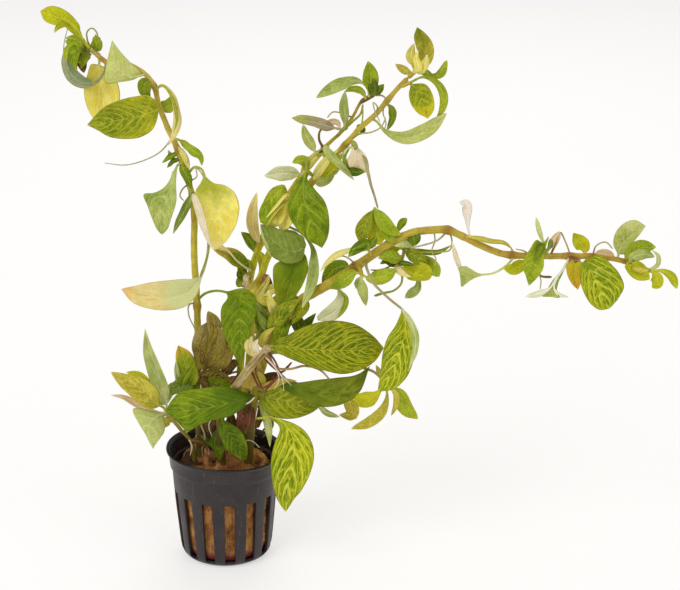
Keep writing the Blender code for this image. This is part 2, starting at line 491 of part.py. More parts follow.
def smooth_path(points, count):
    """Evenly spaced points on a cubic curve through the given ones, with slopes from their neighbours."""
    points = np.asarray(points, float)
    along = np.concatenate(((0,), np.cumsum(np.linalg.norm(np.diff(points, axis=0), axis=1))))
    slopes = np.gradient(points, along, axis=0)
    dense = np.linspace(0, along[-1], 40 * len(points))
    piece = np.clip(np.searchsorted(along, dense, side="right") - 1, 0, len(points) - 2)
    span = (along[piece + 1] - along[piece])[:, None]
    t = (dense - along[piece])[:, None] / span
    curve = (
        points[piece] * (1 + 2 * t) * (1 - t) ** 2
        + slopes[piece] * span * t * (1 - t) ** 2
        + points[piece + 1] * t * t * (3 - 2 * t)
        + slopes[piece + 1] * span * t * t * (t - 1)
    )
    lengths = np.concatenate(((0,), np.cumsum(np.linalg.norm(np.diff(curve, axis=0), axis=1))))
    return sample(curve, lengths, np.linspace(0, lengths[-1], count))


def sample(curve, lengths, places):
    """Points of a polyline at the given lengths along it."""
    return np.column_stack([np.interp(places, lengths, curve[:, axis]) for axis in range(3)])


def stem_line(stem):
    """Centreline of a stem, from inside its socket to its tip."""
    foot = np.array((stem.foot[0] * MM, stem.foot[1] * MM, PLUG_TOP - SOCKET_DEPTH))
    return smooth_path([foot] + [on_ray(point) for point in stem.seen], PATH_POINTS)


def stem_radii(stem):
    """Radius at each point of a stem's centreline, from its girths at even steps."""
    steps = np.linspace(0, 1, len(stem.girth))
    return np.interp(np.linspace(0, 1, PATH_POINTS), steps, stem.girth) * MM / 2


def placed(route, line):
    """A route whose depths count from the point of a centreline where it begins in the picture."""
    begins = np.linalg.norm(in_picture(line) - np.array(route[0][:2]), axis=1).argmin()
    start = line[begins, 1] / MM
    return [line[begins]] + [on_ray((across, down, start + depth)) for across, down, depth in route[1:]]


def past_skin(path, line, radii, reach):
    """The part of a path that is clear of a stem, for a piece that reaches so far sideways."""
    distance = np.linalg.norm(path[:, None] - line[None], axis=2)
    nearest = distance.argmin(axis=1)
    needed = np.where(nearest == len(line) - 1, 2 * GAP + reach, radii[nearest] + reach + GAP)
    too_near = distance[np.arange(len(path)), nearest] <= needed
    inside = np.flatnonzero(too_near[: len(path) // 2])
    return path[inside[-1] + 1:] if len(inside) else path


def finish(obj, name, colour, roughness):
    """Give an object its own material."""
    material = bpy.data.materials.new(name)
    material.use_nodes = True
    shader = material.node_tree.nodes["Principled BSDF"]
    shader.inputs["Base Color"].default_value = (*colour, 1)
    shader.inputs["Roughness"].default_value = roughness
    shader.inputs["Metallic"].default_value = 0
    obj.data.materials.clear()
    obj.data.materials.append(material)


def add_object(name, data):
    """Link a new object to the scene."""
    obj = bpy.data.objects.new(name, data)
    bpy.context.scene.collection.objects.link(obj)
    return obj


def hide_guide(obj):
    """Mark a cutter or guide, which isn't part of the model."""
    obj.hide_render = True
    obj.display_type = "WIRE"


def mesh_object(name, verts, faces):
    """A closed mesh from points and faces, turned to face out and shaded smooth."""
    mesh = bpy.data.meshes.new(name)
    mesh.from_pydata([tuple(v) for v in verts], [], faces)
    work = bmesh.new()
    work.from_mesh(mesh)
    bmesh.ops.recalc_face_normals(work, faces=work.faces)
    work.to_mesh(mesh)
    work.free()
    mesh.shade_smooth()
    return add_object(name, mesh)


def path_frame(path, roll):
    """For each point of a path: the way across it and the way to the viewer, turned by the roll."""
    forward = unit(np.gradient(path, axis=0))
    to_eye = VIEW_EYE - path
    facing = unit(to_eye - forward * (to_eye * forward).sum(axis=1, keepdims=True))
    right = np.cross(forward, facing)
    turn = np.radians(np.linspace(roll[0], roll[1], len(path)))[:, None]
    return right * np.cos(turn) - facing * np.sin(turn), facing * np.cos(turn) + right * np.sin(turn)


def blade_rows(blade):
    """Shares of the length where a blade has a row of points: one for each bend of its route, or 4 or 5."""
    count = max(5 if blade.width > BROAD else 4, len(blade.seen) - 1)
    rows = blade.stalk + (1 - blade.stalk) * (np.arange(count) / count) ** ROW_CREEP
    if blade.stalk > 0.3:
        return np.concatenate(((0, blade.stalk / 3, blade.stalk * 2 / 3), rows))
    if blade.stalk > 0.1:
        return np.concatenate(((0,), rows))
    return np.concatenate(((0,), rows[1:]))


def half_widths(blade, shares):
    """Half width at shares of the length: a thin stalk, then a sine arch with its crest at the belly."""
    along = np.clip((shares - blade.stalk) / (1 - blade.stalk), 0, 1)
    arch = np.sin(math.pi * along ** (math.log(0.5) / math.log(blade.belly))) ** FULLNESS
    return np.hypot(blade.width * MM / 2 * arch, STALK_WIDTH / 2 * (1 - 0.6 * shares))


def blade_mesh(name, blade, path):
    """A leaf as rows of points along its midrib, whose upper and lower skin meet at the margin."""
    shares = blade_rows(blade)
    lengths = np.linspace(0, 1, len(path))
    spine = sample(path, lengths, shares)
    across, upward = (sample(way, lengths, shares) for way in path_frame(path, blade.roll))
    side = np.linspace(-1, 1, 5 if blade.width > BROAD else 3)
    angle = np.radians(blade.fold) + np.radians(blade.curl) * np.abs(side) / 2
    wide = half_widths(blade, shares)[:, None] * (side + blade.lean * np.abs(side))[None]
    middle = (
        spine[:, None] + across[:, None] * (wide * np.cos(angle))[..., None]
        + upward[:, None] * (np.abs(wide) * np.sin(angle))[..., None]
    )
    normal = unit(
        upward[:, None] * np.cos(angle)[None, :, None]
        - across[:, None] * (np.sign(side) * np.sin(angle))[None, :, None]
    )
    half = LEAF_THICKNESS / 2 * (np.abs(side) < 0.99)[None, :, None]
    return mesh_object(name, *skin(middle + normal * half, (middle - normal * half)[:, 1:-1], path[-1]))


def skin(upper, lower, tip):
    """Join an upper and a lower grid that share their outer columns, and close the base and the tip."""
    rows, columns = upper.shape[:2]
    inner = columns - 2
    verts = np.concatenate((upper.reshape(-1, 3), lower.reshape(-1, 3), tip[None]))
    last = len(verts) - 1

    def top(row, column):
        return row * columns + column

    def under(row, column):
        on_margin = column in (0, columns - 1)
        return top(row, column) if on_margin else rows * columns + row * inner + column - 1

    faces = []
    for face_of in (top, under):
        for column in range(columns - 1):
            for row in range(rows - 1):
                faces.append([face_of(row, column), face_of(row, column + 1), face_of(row + 1, column + 1),
                              face_of(row + 1, column)])
            faces.append([face_of(rows - 1, column), face_of(rows - 1, column + 1), last])
    base_top = [top(0, column) for column in range(columns)]
    base_under = [under(0, column) for column in range(inner, 0, -1)]
    faces.append(base_top + base_under)
    return verts, faces


def tube_mesh(name, path, radii, sides):
    """A round stem as rings of points along its path, closed by a face at each end."""
    length = np.linalg.norm(np.diff(path, axis=0), axis=1).sum()
    rings = 4 + int(length / RING_SPACING)
    places = np.linspace(0, len(path) - 1, rings).round().astype(int)
    across, upward = path_frame(path, (0, 0))
    turn = (np.arange(sides) * 2 * math.pi / sides)[None, :, None]
    ring = across[places][:, None] * np.cos(turn) + upward[places][:, None] * np.sin(turn)
    verts = path[places][:, None] + ring * radii[places][:, None, None]
    faces = []
    for start in range(0, (rings - 1) * sides, sides):
        for k in range(sides):
            after = (k + 1) % sides
            faces.append([start + k, start + after, start + sides + after, start + sides + k])
    faces += [list(range(sides)), list(range((rings - 1) * sides, rings * sides))]
    return mesh_object(name, verts.reshape(-1, 3), faces)


def make_shoot(name, path, radii, sides, blades):
    """A stem or twig with the blades that grow from it, as one solid."""
    shoot = tube_mesh(name, path, radii, sides)
    for number, blade in enumerate(blades):
        route = smooth_path(placed(blade.seen, path), PATH_POINTS)
        guide = blade_mesh(f"{name}_blade_{number}", blade, route)
        hide_guide(guide)
        union = shoot.modifiers.new("union", "BOOLEAN")
        union.operation = "UNION"
        union.solver = "EXACT"
        union.object = guide
    return shoot


def make_leaf(name, leaf, line, radii):
    """One leaf, or a twig with the blades that grow from it."""
    if leaf.twig:
        route = smooth_path(placed(leaf.twig, line), PATH_POINTS)
        path = past_skin(route, line, radii, leaf.girth[0] * MM / 2)
        twig_radii = np.linspace(*leaf.girth, len(path)) * MM / 2
        made = make_shoot(name, path, twig_radii, TWIG_SIDES, leaf.blades)
    else:
        route = smooth_path(placed(leaf.blades[0].seen, line), PATH_POINTS)
        path = past_skin(route, line, radii, LEAF_THICKNESS / 2)
        made = blade_mesh(name, leaf.blades[0], path)
    finish(made, name, LEAF_COLOURS[leaf.colour], 0.55)


def turned(name, profile, steps):
    """A solid turned about Z from a profile of (radius, height) that starts and ends on the axis."""
    work = bmesh.new()
    verts = [work.verts.new((radius, 0, height)) for radius, height in profile]
    edges = [work.edges.new(pair) for pair in zip(verts, verts[1:])]
    bmesh.ops.spin(work, geom=verts + edges, axis=(0, 0, 1), cent=(0, 0, 0), steps=steps, angle=2 * math.pi,
                   use_merge=True)
    bmesh.ops.remove_doubles(work, verts=work.verts, dist=MM / 1000)
    bmesh.ops.recalc_face_normals(work, faces=work.faces)
    mesh = bpy.data.meshes.new(name)
    work.to_mesh(mesh)
    work.free()
    mesh.shade_smooth()
    mesh.set_sharp_from_angle(angle=math.radians(35))
    return add_object(name, mesh)


def pot_profile():
    """The net pot's section: round foot corner, tapered wall, collar step and lip, then down inside."""
    corner = [
        (FOOT_RADIUS + FOOT_CORNER * math.sin(turn), FOOT_CORNER * (1 - math.cos(turn)))
        for turn in np.radians((0, 40, 80))
    ]
    collar_foot = POT_HEIGHT - COLLAR_HEIGHT
    outside = [(0, 0)] + corner + [
        (WALL_TOP_RADIUS, collar_foot - MM), (COLLAR_RADIUS, collar_foot),
        (COLLAR_RADIUS, POT_HEIGHT - 1.6 * MM), (LIP_RADIUS, POT_HEIGHT - 1.2 * MM),
        (LIP_RADIUS, POT_HEIGHT - 0.3 * MM),
    ]
    inside = [
        (COLLAR_RADIUS - 0.2 * MM, POT_HEIGHT), (COLLAR_RADIUS - WALL, POT_HEIGHT - 1.4 * MM),
        (WALL_TOP_RADIUS - WALL, collar_foot - MM), (WALL_FOOT_RADIUS - WALL, FOOT_CORNER),
        (FOOT_RADIUS - 0.5 * MM, WALL), (0, WALL),
    ]
    return outside + inside


def slot_cutter():
    """A bar for each slot, from inside the wall to outside it, as one guide."""
    work = bmesh.new()
    inner, outer = FOOT_RADIUS - 1.2 * MM, LIP_RADIUS + MM
    for number in range(SLOTS):
        turn = SLOT_TURN - math.pi / 2 + number * 2 * math.pi / SLOTS
        made = bmesh.ops.create_cube(work, size=1)["verts"]
        for vert in made:
            radius = outer if vert.co.x > 0 else inner
            side = vert.co.y * SLOT_WIDTH
            height = SLOT_TOP if vert.co.z > 0 else SLOT_BOTTOM
            vert.co = Matrix.Rotation(turn, 3, "Z") @ Vector((radius, side, height))
    mesh = bpy.data.meshes.new("slot_cutter")
    work.to_mesh(mesh)
    work.free()
    cutter = add_object("slot_cutter", mesh)
    hide_guide(cutter)
    return cutter


def make_pot():
    """The soft black net pot, whose lip leans a little to the right."""
    pot = turned("pot", pot_profile(), 2 * SLOTS)
    for vert in pot.data.vertices:
        vert.co.z -= LIP_TILT * vert.co.x * (vert.co.z / POT_HEIGHT) ** 2
    cut = pot.modifiers.new("slots", "BOOLEAN")
    cut.operation = "DIFFERENCE"
    cut.solver = "EXACT"
    cut.object = slot_cutter()
    finish(pot, "pot", POT_COLOUR, 0.5)


def make_rockwool(lines):
    """The plug of rockwool, with a socket where each stem goes in."""
    profile = [
        (0, PLUG_FOOT), (FOOT_RADIUS - 2 * MM, PLUG_FOOT), (PLUG_FOOT_RADIUS, PLUG_FOOT + 5 * MM),
        (PLUG_WIDEST, PLUG_SHOULDER), (PLUG_TOP_RADIUS, PLUG_TOP - 2 * MM),
        (PLUG_TOP_RADIUS - 6 * MM, PLUG_TOP), (0, PLUG_TOP + PLUG_CROWN),
    ]
    plug = turned("rockwool", profile, 24)
    for name, line in lines.items():
        radius = STEMS[name].girth[0] * MM / 2 + 1.6 * GAP
        path = line[np.linalg.norm(line - line[0], axis=1) < SOCKET_DEPTH + 5 * MM].copy()
        path[0] -= unit(path[1] - path[0]) * 1.3 * GAP
        cutter = tube_mesh(f"{name}_socket", path, np.full(len(path), radius), STEM_SIDES)
        hide_guide(cutter)
        socket = plug.modifiers.new(f"{name}_socket", "BOOLEAN")
        socket.operation = "DIFFERENCE"
        socket.solver = "EXACT"
        socket.object = cutter
    finish(plug, "rockwool", ROCKWOOL_COLOUR, 0.95)


def main():
    """Build the pot, the plug, the stems and all that grows on them."""
    clear_scene()
    lines = {name: stem_line(stem) for name, stem in STEMS.items()}
    make_pot()
    make_rockwool(lines)
    for name, stem in STEMS.items():
        shoot = make_shoot(name, lines[name], stem_radii(stem), STEM_SIDES, stem.leaflets)
        finish(shoot, name, stem.colour, 0.5)
    for name, leaf in LEAVES.items():
        make_leaf(name, leaf, lines[leaf.on], stem_radii(STEMS[leaf.on]))


main()
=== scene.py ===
# %% [markdown]
# # A potted Ludwigia
# A net pot holds a plug of rockwool, and from the plug rise five leafy stems and one dry one. The solids of
# the CAD model say where each part is. This script grows the fine version of each part in the same place:
# thin veined leaves, jointed stems, fibrous rockwool and a soft black pot.
# The frame is loaded first, and its box is kept, because nothing here may outgrow it.

# %% Load the frame
import math
from typing import NamedTuple

import bmesh
import bpy
import numpy as np
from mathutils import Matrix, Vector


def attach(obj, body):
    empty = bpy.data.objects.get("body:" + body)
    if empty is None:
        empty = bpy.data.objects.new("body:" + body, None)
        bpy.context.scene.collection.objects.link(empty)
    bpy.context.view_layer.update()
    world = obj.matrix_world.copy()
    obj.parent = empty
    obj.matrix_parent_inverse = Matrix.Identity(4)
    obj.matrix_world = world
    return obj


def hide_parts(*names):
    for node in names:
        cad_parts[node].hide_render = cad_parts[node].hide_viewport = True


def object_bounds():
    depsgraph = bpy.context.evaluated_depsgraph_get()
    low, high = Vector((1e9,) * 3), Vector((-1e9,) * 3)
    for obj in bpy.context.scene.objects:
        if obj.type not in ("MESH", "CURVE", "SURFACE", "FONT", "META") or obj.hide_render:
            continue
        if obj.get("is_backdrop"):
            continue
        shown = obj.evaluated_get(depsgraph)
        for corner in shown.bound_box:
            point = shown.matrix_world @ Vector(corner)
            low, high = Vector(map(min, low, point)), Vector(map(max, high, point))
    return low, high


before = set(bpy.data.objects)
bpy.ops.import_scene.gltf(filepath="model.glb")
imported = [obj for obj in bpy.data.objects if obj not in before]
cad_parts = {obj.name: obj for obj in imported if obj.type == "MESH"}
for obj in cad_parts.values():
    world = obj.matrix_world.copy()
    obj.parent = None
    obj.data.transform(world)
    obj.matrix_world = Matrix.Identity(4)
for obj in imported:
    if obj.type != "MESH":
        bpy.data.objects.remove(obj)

cad_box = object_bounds()
MM = 0.001
print("frame:", len(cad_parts), "nodes, highest point", round(cad_box[1][2] / MM), "mm")

# %% [markdown]
# ## The camera
# The photograph looks down at the plant from in front, from a little under a metre away. The focal length
# is known in pixels of a 680 x 590 picture, and the lens in millimetres follows from the sensor's width.

# %% Set up the camera
PICTURE_WIDTH = 680
PICTURE_MIDDLE = np.array((340, 295))
FOCAL = 1915
EYE = np.array((54.2, -824.5, 420.7)) * MM
PITCH = math.radians(19.5)
SENSOR = 36

camera_data = bpy.data.cameras.new("camera")
camera_data.sensor_width = SENSOR
camera_data.lens = FOCAL / PICTURE_WIDTH * SENSOR
camera_data.clip_end = 20
camera = bpy.data.objects.new("camera", camera_data)
camera.location = EYE
camera.rotation_euler = (math.pi / 2 - PITCH, 0, 0)
bpy.context.scene.collection.objects.link(camera)
bpy.context.scene.camera = camera
print("lens", round(camera_data.lens, 1), "mm")

# %% [markdown]
# ## From the picture to the bench
# A plant is measured best where it is seen. So each stem and leaf is given by points of the picture, each
# with a depth in millimetres towards the back, and this cell carries them into space along the camera's
# rays.

# %% Rays of the picture
AHEAD = np.array((0, math.cos(PITCH), -math.sin(PITCH)))
UP = np.array((0, math.sin(PITCH), math.cos(PITCH)))
ACROSS = np.array((1, 0, 0))


def on_rays(points):
    """Eye + t ray, with the t that takes the ray to the upright plane y = depth. Rows are (x, y, depth)."""
    points = np.asarray(points, float)
    offset = points[..., :2] - PICTURE_MIDDLE
    rays = offset[..., :1] * ACROSS - offset[..., 1:2] * UP + FOCAL * AHEAD
    return EYE + rays * ((points[..., 2:] * MM - EYE[1]) / rays[..., 1:2])


def in_picture(points):
    """Pixel = middle + focal length times (across, down) / (distance ahead)."""
    offset = points - EYE
    ahead = offset @ AHEAD
    return PICTURE_MIDDLE + FOCAL * np.stack((offset @ ACROSS / ahead, -(offset @ UP) / ahead), axis=-1)


print("the pot's foot is seen at", in_picture(np.zeros((1, 3))).round(1)[0])

# %% [markdown]
# ## Smooth curves
# Stems and midribs bend gently, so each is one cubic curve through its points. It is walked at even steps,
# and anything that goes along it, such as its girth, is read off by its share of the length.

# %% Curves and noise
STEPS = 240
PER_POINT = 40


def unit(vectors):
    """Each row divided by its own length."""
    return vectors / np.maximum(np.linalg.norm(vectors, axis=-1, keepdims=True), 1e-12)


def walked(curve):
    """The length walked along a curve up to each of its points: the running sum of its steps."""
    return np.concatenate(((0,), np.cumsum(np.linalg.norm(np.diff(curve, axis=0), axis=1))))


def read_off(places, known, values):
    """Each column of the values, known at some places, by straight lines at other places."""
    return np.stack([np.interp(places, known, column) for column in values.T], axis=-1)


def at_shares(curve, shares):
    """The curve's points at shares of its length."""
    lengths = walked(curve)
    return read_off(shares * lengths[-1], lengths, curve)


def smooth_path(points, count=STEPS):
    """Cubic Hermite curve, h00 p0 + h10 m0 + h01 p1 + h11 m1 in each span, slopes m from the neighbours."""
    points = np.asarray(points, float)
    along = walked(points)
    slopes = np.gradient(points, along, axis=0)
    dense = np.linspace(0, along[-1], PER_POINT * len(points))
    piece = np.clip(np.searchsorted(along, dense, side="right") - 1, 0, len(points) - 2)
    span = (along[piece + 1] - along[piece])[:, None]
    t = (dense - along[piece])[:, None] / span
    curve = (
        points[piece] * (1 + 2 * t) * (1 - t) ** 2 + slopes[piece] * span * t * (1 - t) ** 2
        + points[piece + 1] * t * t * (3 - 2 * t) + slopes[piece + 1] * span * t * t * (t - 1)
    )
    return at_shares(curve, np.linspace(0, 1, count))


def ripple(points, size, seed, waves=10):
    """Smooth noise near -1 to 1: sines added up that run in seeded directions, each about `size` long."""
    rng = np.random.default_rng(seed)
    ways = unit(rng.normal(size=(waves, 3))) * rng.uniform(0.6, 1.6, (waves, 1)) * 2 * math.pi / size
    return np.sin(points @ ways.T + rng.uniform(0, 2 * math.pi, waves)).sum(axis=-1) / math.sqrt(waves)


def path_frame(path, roll):
    """Two ways at each point, both square to the path: across it as seen, and up towards the camera.

    With forward f, facing e (to the eye, less its part along f) and right r = f x e, a roll by the angle a
    gives across = r cos a - e sin a and up = e cos a + r sin a.
    """
    forward = unit(np.gradient(path, axis=0))
    to_eye = EYE - path
    facing = unit(to_eye - forward * (to_eye * forward).sum(axis=1, keepdims=True))
    right = np.cross(forward, facing)
    turn = np.radians(np.linspace(roll[0], roll[1], len(path)))[:, None]
    return right * np.cos(turn) - facing * np.sin(turn), facing * np.cos(turn) + right * np.sin(turn)


def placed(route, line):
    """A smooth route that begins on a line, at the seen point (x, y), and whose depths count from there."""
    start = line[np.linalg.norm(in_picture(line) - np.array(route[0]), axis=1).argmin()]
    rest = on_rays([(x, y, start[1] / MM + depth) for x, y, depth in route[1:]])
    return smooth_path(np.concatenate((start[None], rest)))


print("a curve has", STEPS, "steps")

# %% [markdown]
# ## Skins
# Every part of the plant is a closed skin: rings of points one after another, like the hoops of a sleeve,
# with a small fan of triangles at each end. A stem's ring is round. A leaf's ring is a long flat loop that
# goes over the upper side and comes back under the lower one. So one function skins them all, and it turns
# a skin that would face inwards.
# Each point also carries what the materials need to know: `leaf` (where it is across and along the blade,
# and on which side vein), `skin` (millimetres across and along, and how aged it is) and `side` (1 above, 0
# below).

# %% Skins and pieces
class Skin(NamedTuple):
    """A closed skin: points, faces, what each point tells the materials, and the name of its finish."""

    points: np.ndarray
    quads: np.ndarray
    fans: np.ndarray
    leaf: np.ndarray
    skin: np.ndarray
    side: np.ndarray
    look: str


# Name of each attribute, its kind, and the name of its values
ATTRIBUTES = (
    ("leaf", "FLOAT_VECTOR", "vector"),
    ("skin", "FLOAT_VECTOR", "vector"),
    ("side", "FLOAT", "value"),
)
FINISHES = {}


def volume(points, faces):
    """Sum of a . (b x c) / 6 over the triangles of each face, positive where the faces look outwards."""
    a, b, c = (points[faces[:, k]] for k in range(3))
    total = (a * np.cross(b, c)).sum()
    if faces.shape[1] == 4:
        total += (a * np.cross(c, points[faces[:, 3]])).sum()
    return total / 6


def with_end(values):
    """Values on rings, one after another, then the means of the first and last ring for the fans."""
    flat = values.reshape(-1, *values.shape[2:])
    return np.concatenate((flat, values[:1].mean(axis=1), values[-1:].mean(axis=1)))


def ring_quads(keep):
    """Quads that join ring i to ring i + 1 all round, only where the mask keeps the cell."""
    around = keep.shape[1]
    row, k = np.nonzero(keep)
    here, following = row * around + k, row * around + (k + 1) % around
    return np.column_stack((here, following, following + around, here + around))


def closed_skin(rings, leaf, skin, side, look):
    """Quads between the rings, and a fan that closes each end round a middle point."""
    rows, around = rings.shape[:2]
    quads = ring_quads(np.ones((rows - 1, around), bool))
    last = (rows - 1) * around
    k = np.arange(around)
    following = (k + 1) % around
    foot = np.column_stack((following, k, np.full(around, rows * around)))
    tip = np.column_stack((last + k, last + following, np.full(around, rows * around + 1)))
    fans = np.concatenate((foot, tip))
    points = with_end(rings)
    if volume(points, quads) + volume(points, fans) < 0:
        quads, fans = quads[:, ::-1], fans[:, ::-1]
    return Skin(points, quads, fans, with_end(leaf), with_end(skin), with_end(side), look)


def add_piece(mesh, node):
    """Link a mesh as a piece in place of a CAD node."""
    piece = bpy.data.objects.new(mesh.name, mesh)
    bpy.context.scene.collection.objects.link(piece)
    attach(piece, "root")
    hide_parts(node)
    return piece


def skinned(name, skins):
    """One mesh from several skins, with their attributes and finishes."""
    points, faces = [], []
    for skin in skins:
        faces += (skin.quads + len(points)).tolist() + (skin.fans + len(points)).tolist()
        points += skin.points.tolist()
    mesh = bpy.data.meshes.new(name)
    mesh.from_pydata(points, [], faces)
    for key, kind, target in ATTRIBUTES:
        values = np.concatenate([getattr(skin, key) for skin in skins]).astype(np.float32)
        mesh.attributes.new(key, kind, "POINT").data.foreach_set(target, values.ravel())
    looks = sorted({skin.look for skin in skins})
    for look in looks:
        mesh.materials.append(FINISHES[look])
    places = [looks.index(skin.look) for skin in skins]
    counts = [len(skin.quads) + len(skin.fans) for skin in skins]
    mesh.polygons.foreach_set("material_index", np.repeat(places, counts))
    mesh.shade_smooth()
    mesh.update()
    return mesh


print("each point carries", ", ".join(key for key, kind, target in ATTRIBUTES))

# %% [markdown]
# ## A leaf
# A Ludwigia leaf is a thin blade on a short stalk. Its two halves rise from the midrib like an open book,
# side veins leave the midrib at a slant and bow towards the tip, and the skin is quilted between them. It
# could be cut from a flat sheet and bent, but a sheet knows nothing of veins. So the blade is worked out on
# a grid: `u` runs from margin to margin through 0 at the midrib, `v` from base to tip, and a third number,
# the vein phase, grows by one from each side vein to the next. The same phase quilts the surface here and
# colours the veins in the material.

# %% Leaf surfaces
LEAF_THICKNESS = 0.34 * MM
STALK_WIDTH = 1.15 * MM
STALK_TAPER = 0.55
# Half the stalk's thickness over its width, and the share of the blade in which the stalk runs out
STALK_DEPTH = 0.4
STALK_RUN = 0.15
# Below 1 the outline is fuller than a sine arch
FULLNESS = 0.8
# How soft the crease along the midrib is, as a share of the half width
KEEL = 0.07
RIB = 0.32 * MM
RIB_WIDTH = 0.45 * MM
CRUMPLE = 0.25 * MM
CRUMPLE_SIZE = 9 * MM
# Ruffles along a margin, and how far one half's ruffles and veins are out of step with the other's
RUFFLES = 2.3
OUT_OF_STEP = 0.35
# Rows and columns of a blade's grid, for blades wider than so many millimetres
GRIDS = ((10, (72, 33)), (5, (44, 19)), (0, (32, 11)))


class Blade(NamedTuple):
    """One leaf along its midrib. Width in millimetres, angles in degrees.

    Seen is its route from where it leaves its stem, and look is its finish. A roll of 0 turns the upper
    face to the viewer; the pair is for base and tip. Each half rises from the midrib by the fold and bends
    on by the curl. Belly is where along the blade it is widest, stalk the share of the whole length that is
    leaf stalk, and lean the part of the width that one half gives to the other. Veins is the number of side
    veins, and slant how far they run on towards the tip. Wave is the margin's ruffle and quilt the height
    between the veins, both in millimetres. Age is how yellow the base and the tip are, and margins are the
    edges, where they were seen.
    """

    seen: tuple
    width: float
    look: str
    roll: tuple = (0, 0)
    fold: float = 18
    belly: float = 0.42
    stalk: float = 0.12
    lean: float = 0
    curl: float = 0
    veins: float = 7
    slant: float = 0.4
    wave: float = 0.35
    quilt: float = 0.22
    age: tuple = (0, 0)
    margins: tuple = ()


def eased(count):
    """Shares from 0 to 1 that lie closer near both ends: half even steps, half (1 - cos) / 2."""
    even = np.linspace(0, 1, count)
    return even / 2 + (1 - np.cos(math.pi * even)) / 4


def half_widths(blade, along):
    """Sine arch whose crest is moved to the belly: sin(pi v ** (ln 0.5 / ln belly)) ** fullness."""
    moved = along ** (math.log(0.5) / math.log(blade.belly))
    return blade.width * MM / 2 * np.sin(math.pi * moved) ** FULLNESS


def seen_margin(curve, blade, spine, upward, along):
    """From the midrib to a seen edge, row by row; the edge rises to the eye by its width times sin fold."""
    seen = in_picture(spine)
    stalk_end = np.count_nonzero(along == 0) - 1
    ends = seen[[stalk_end, -1]]
    edge = at_shares(smooth_path(np.concatenate((ends[:1], np.array(curve, float), ends[1:]))), along)
    apart = np.linalg.norm(edge - seen, axis=1) * np.linalg.norm(spine - EYE, axis=1) / FOCAL
    towards = np.sign((upward * (EYE - spine)).sum(axis=1))
    depth = spine[:, 1] / MM - towards * apart / MM * math.sin(math.radians(blade.fold))
    return (on_rays(np.column_stack((edge, depth))) - spine) * (along > 0)[:, None]


def margin_offsets(blade, spine, across, upward, along, shares):
    """From the midrib to each margin: across cos a + up sin a, times the half width, or as measured."""
    angle = math.radians(blade.fold + blade.curl / 2)
    half = half_widths(blade, along)[:, None]
    offsets = {
        side: (side * across * math.cos(angle) + upward * math.sin(angle)) * half * (1 + side * blade.lean)
        for side in (-1, 1)
    }
    for curve in blade.margins:
        measured = seen_margin(curve, blade, spine, upward, along)
        offsets[1 if (measured * across).sum() > 0 else -1] = measured
    stalk = (STALK_WIDTH / 2 * (1 - STALK_TAPER * shares) * (1 - along ** 8))[:, None]
    for side, offset in offsets.items():
        length = np.linalg.norm(offset, axis=1, keepdims=True)
        way = unit(offset + side * across * MM / 100)
        offsets[side] = way * np.hypot(length, stalk)
    return offsets


def vein_phase(blade, u, v):
    """Number of side veins passed: veins times (v ** 0.9 less a sweep that grows towards the margin)."""
    out = np.abs(u)
    sweep = blade.slant * (0.7 * out + 0.3 * out ** 3) * (1 - 0.3 * v)
    return blade.veins * (v ** 0.9 - sweep) + OUT_OF_STEP * (u > 0) * np.minimum(1, 4 * out) + 0.5


def blade_sheet(blade, spine, upward, margin, u, v, phase, seed):
    """Middle of the blade: midrib(v) + |u| margin(v) + up (bend + quilt + ruffle + crumple)."""
    half = np.linalg.norm(margin, axis=-1)
    broad = np.minimum(1, half / (2 * MM))
    bend = half * math.radians(blade.curl) / 2 * (u * u - np.abs(u))
    puffed = np.abs(np.sin(math.pi * phase)) * (1 - u ** 4) * np.minimum(1, 5 * np.abs(u))
    ruffled = u * u * np.sin(2 * math.pi * (RUFFLES * v + OUT_OF_STEP * (u > 0) + 0.17 * seed))
    rise = bend + blade.quilt * MM * broad * puffed + blade.wave * MM * broad * ruffled
    out = (np.hypot(u, KEEL) - KEEL) / (1 - KEEL)
    sheet = spine[:, None] + out[..., None] * margin + upward[:, None] * rise[..., None]
    return sheet + upward[:, None] * (CRUMPLE * broad * ripple(sheet, CRUMPLE_SIZE, seed))[..., None]


def looped(over, under):
    """A row of the upper side, then the same row of the lower side backwards, without its two ends."""
    return np.concatenate((over, under[:, -2:0:-1]), axis=1)


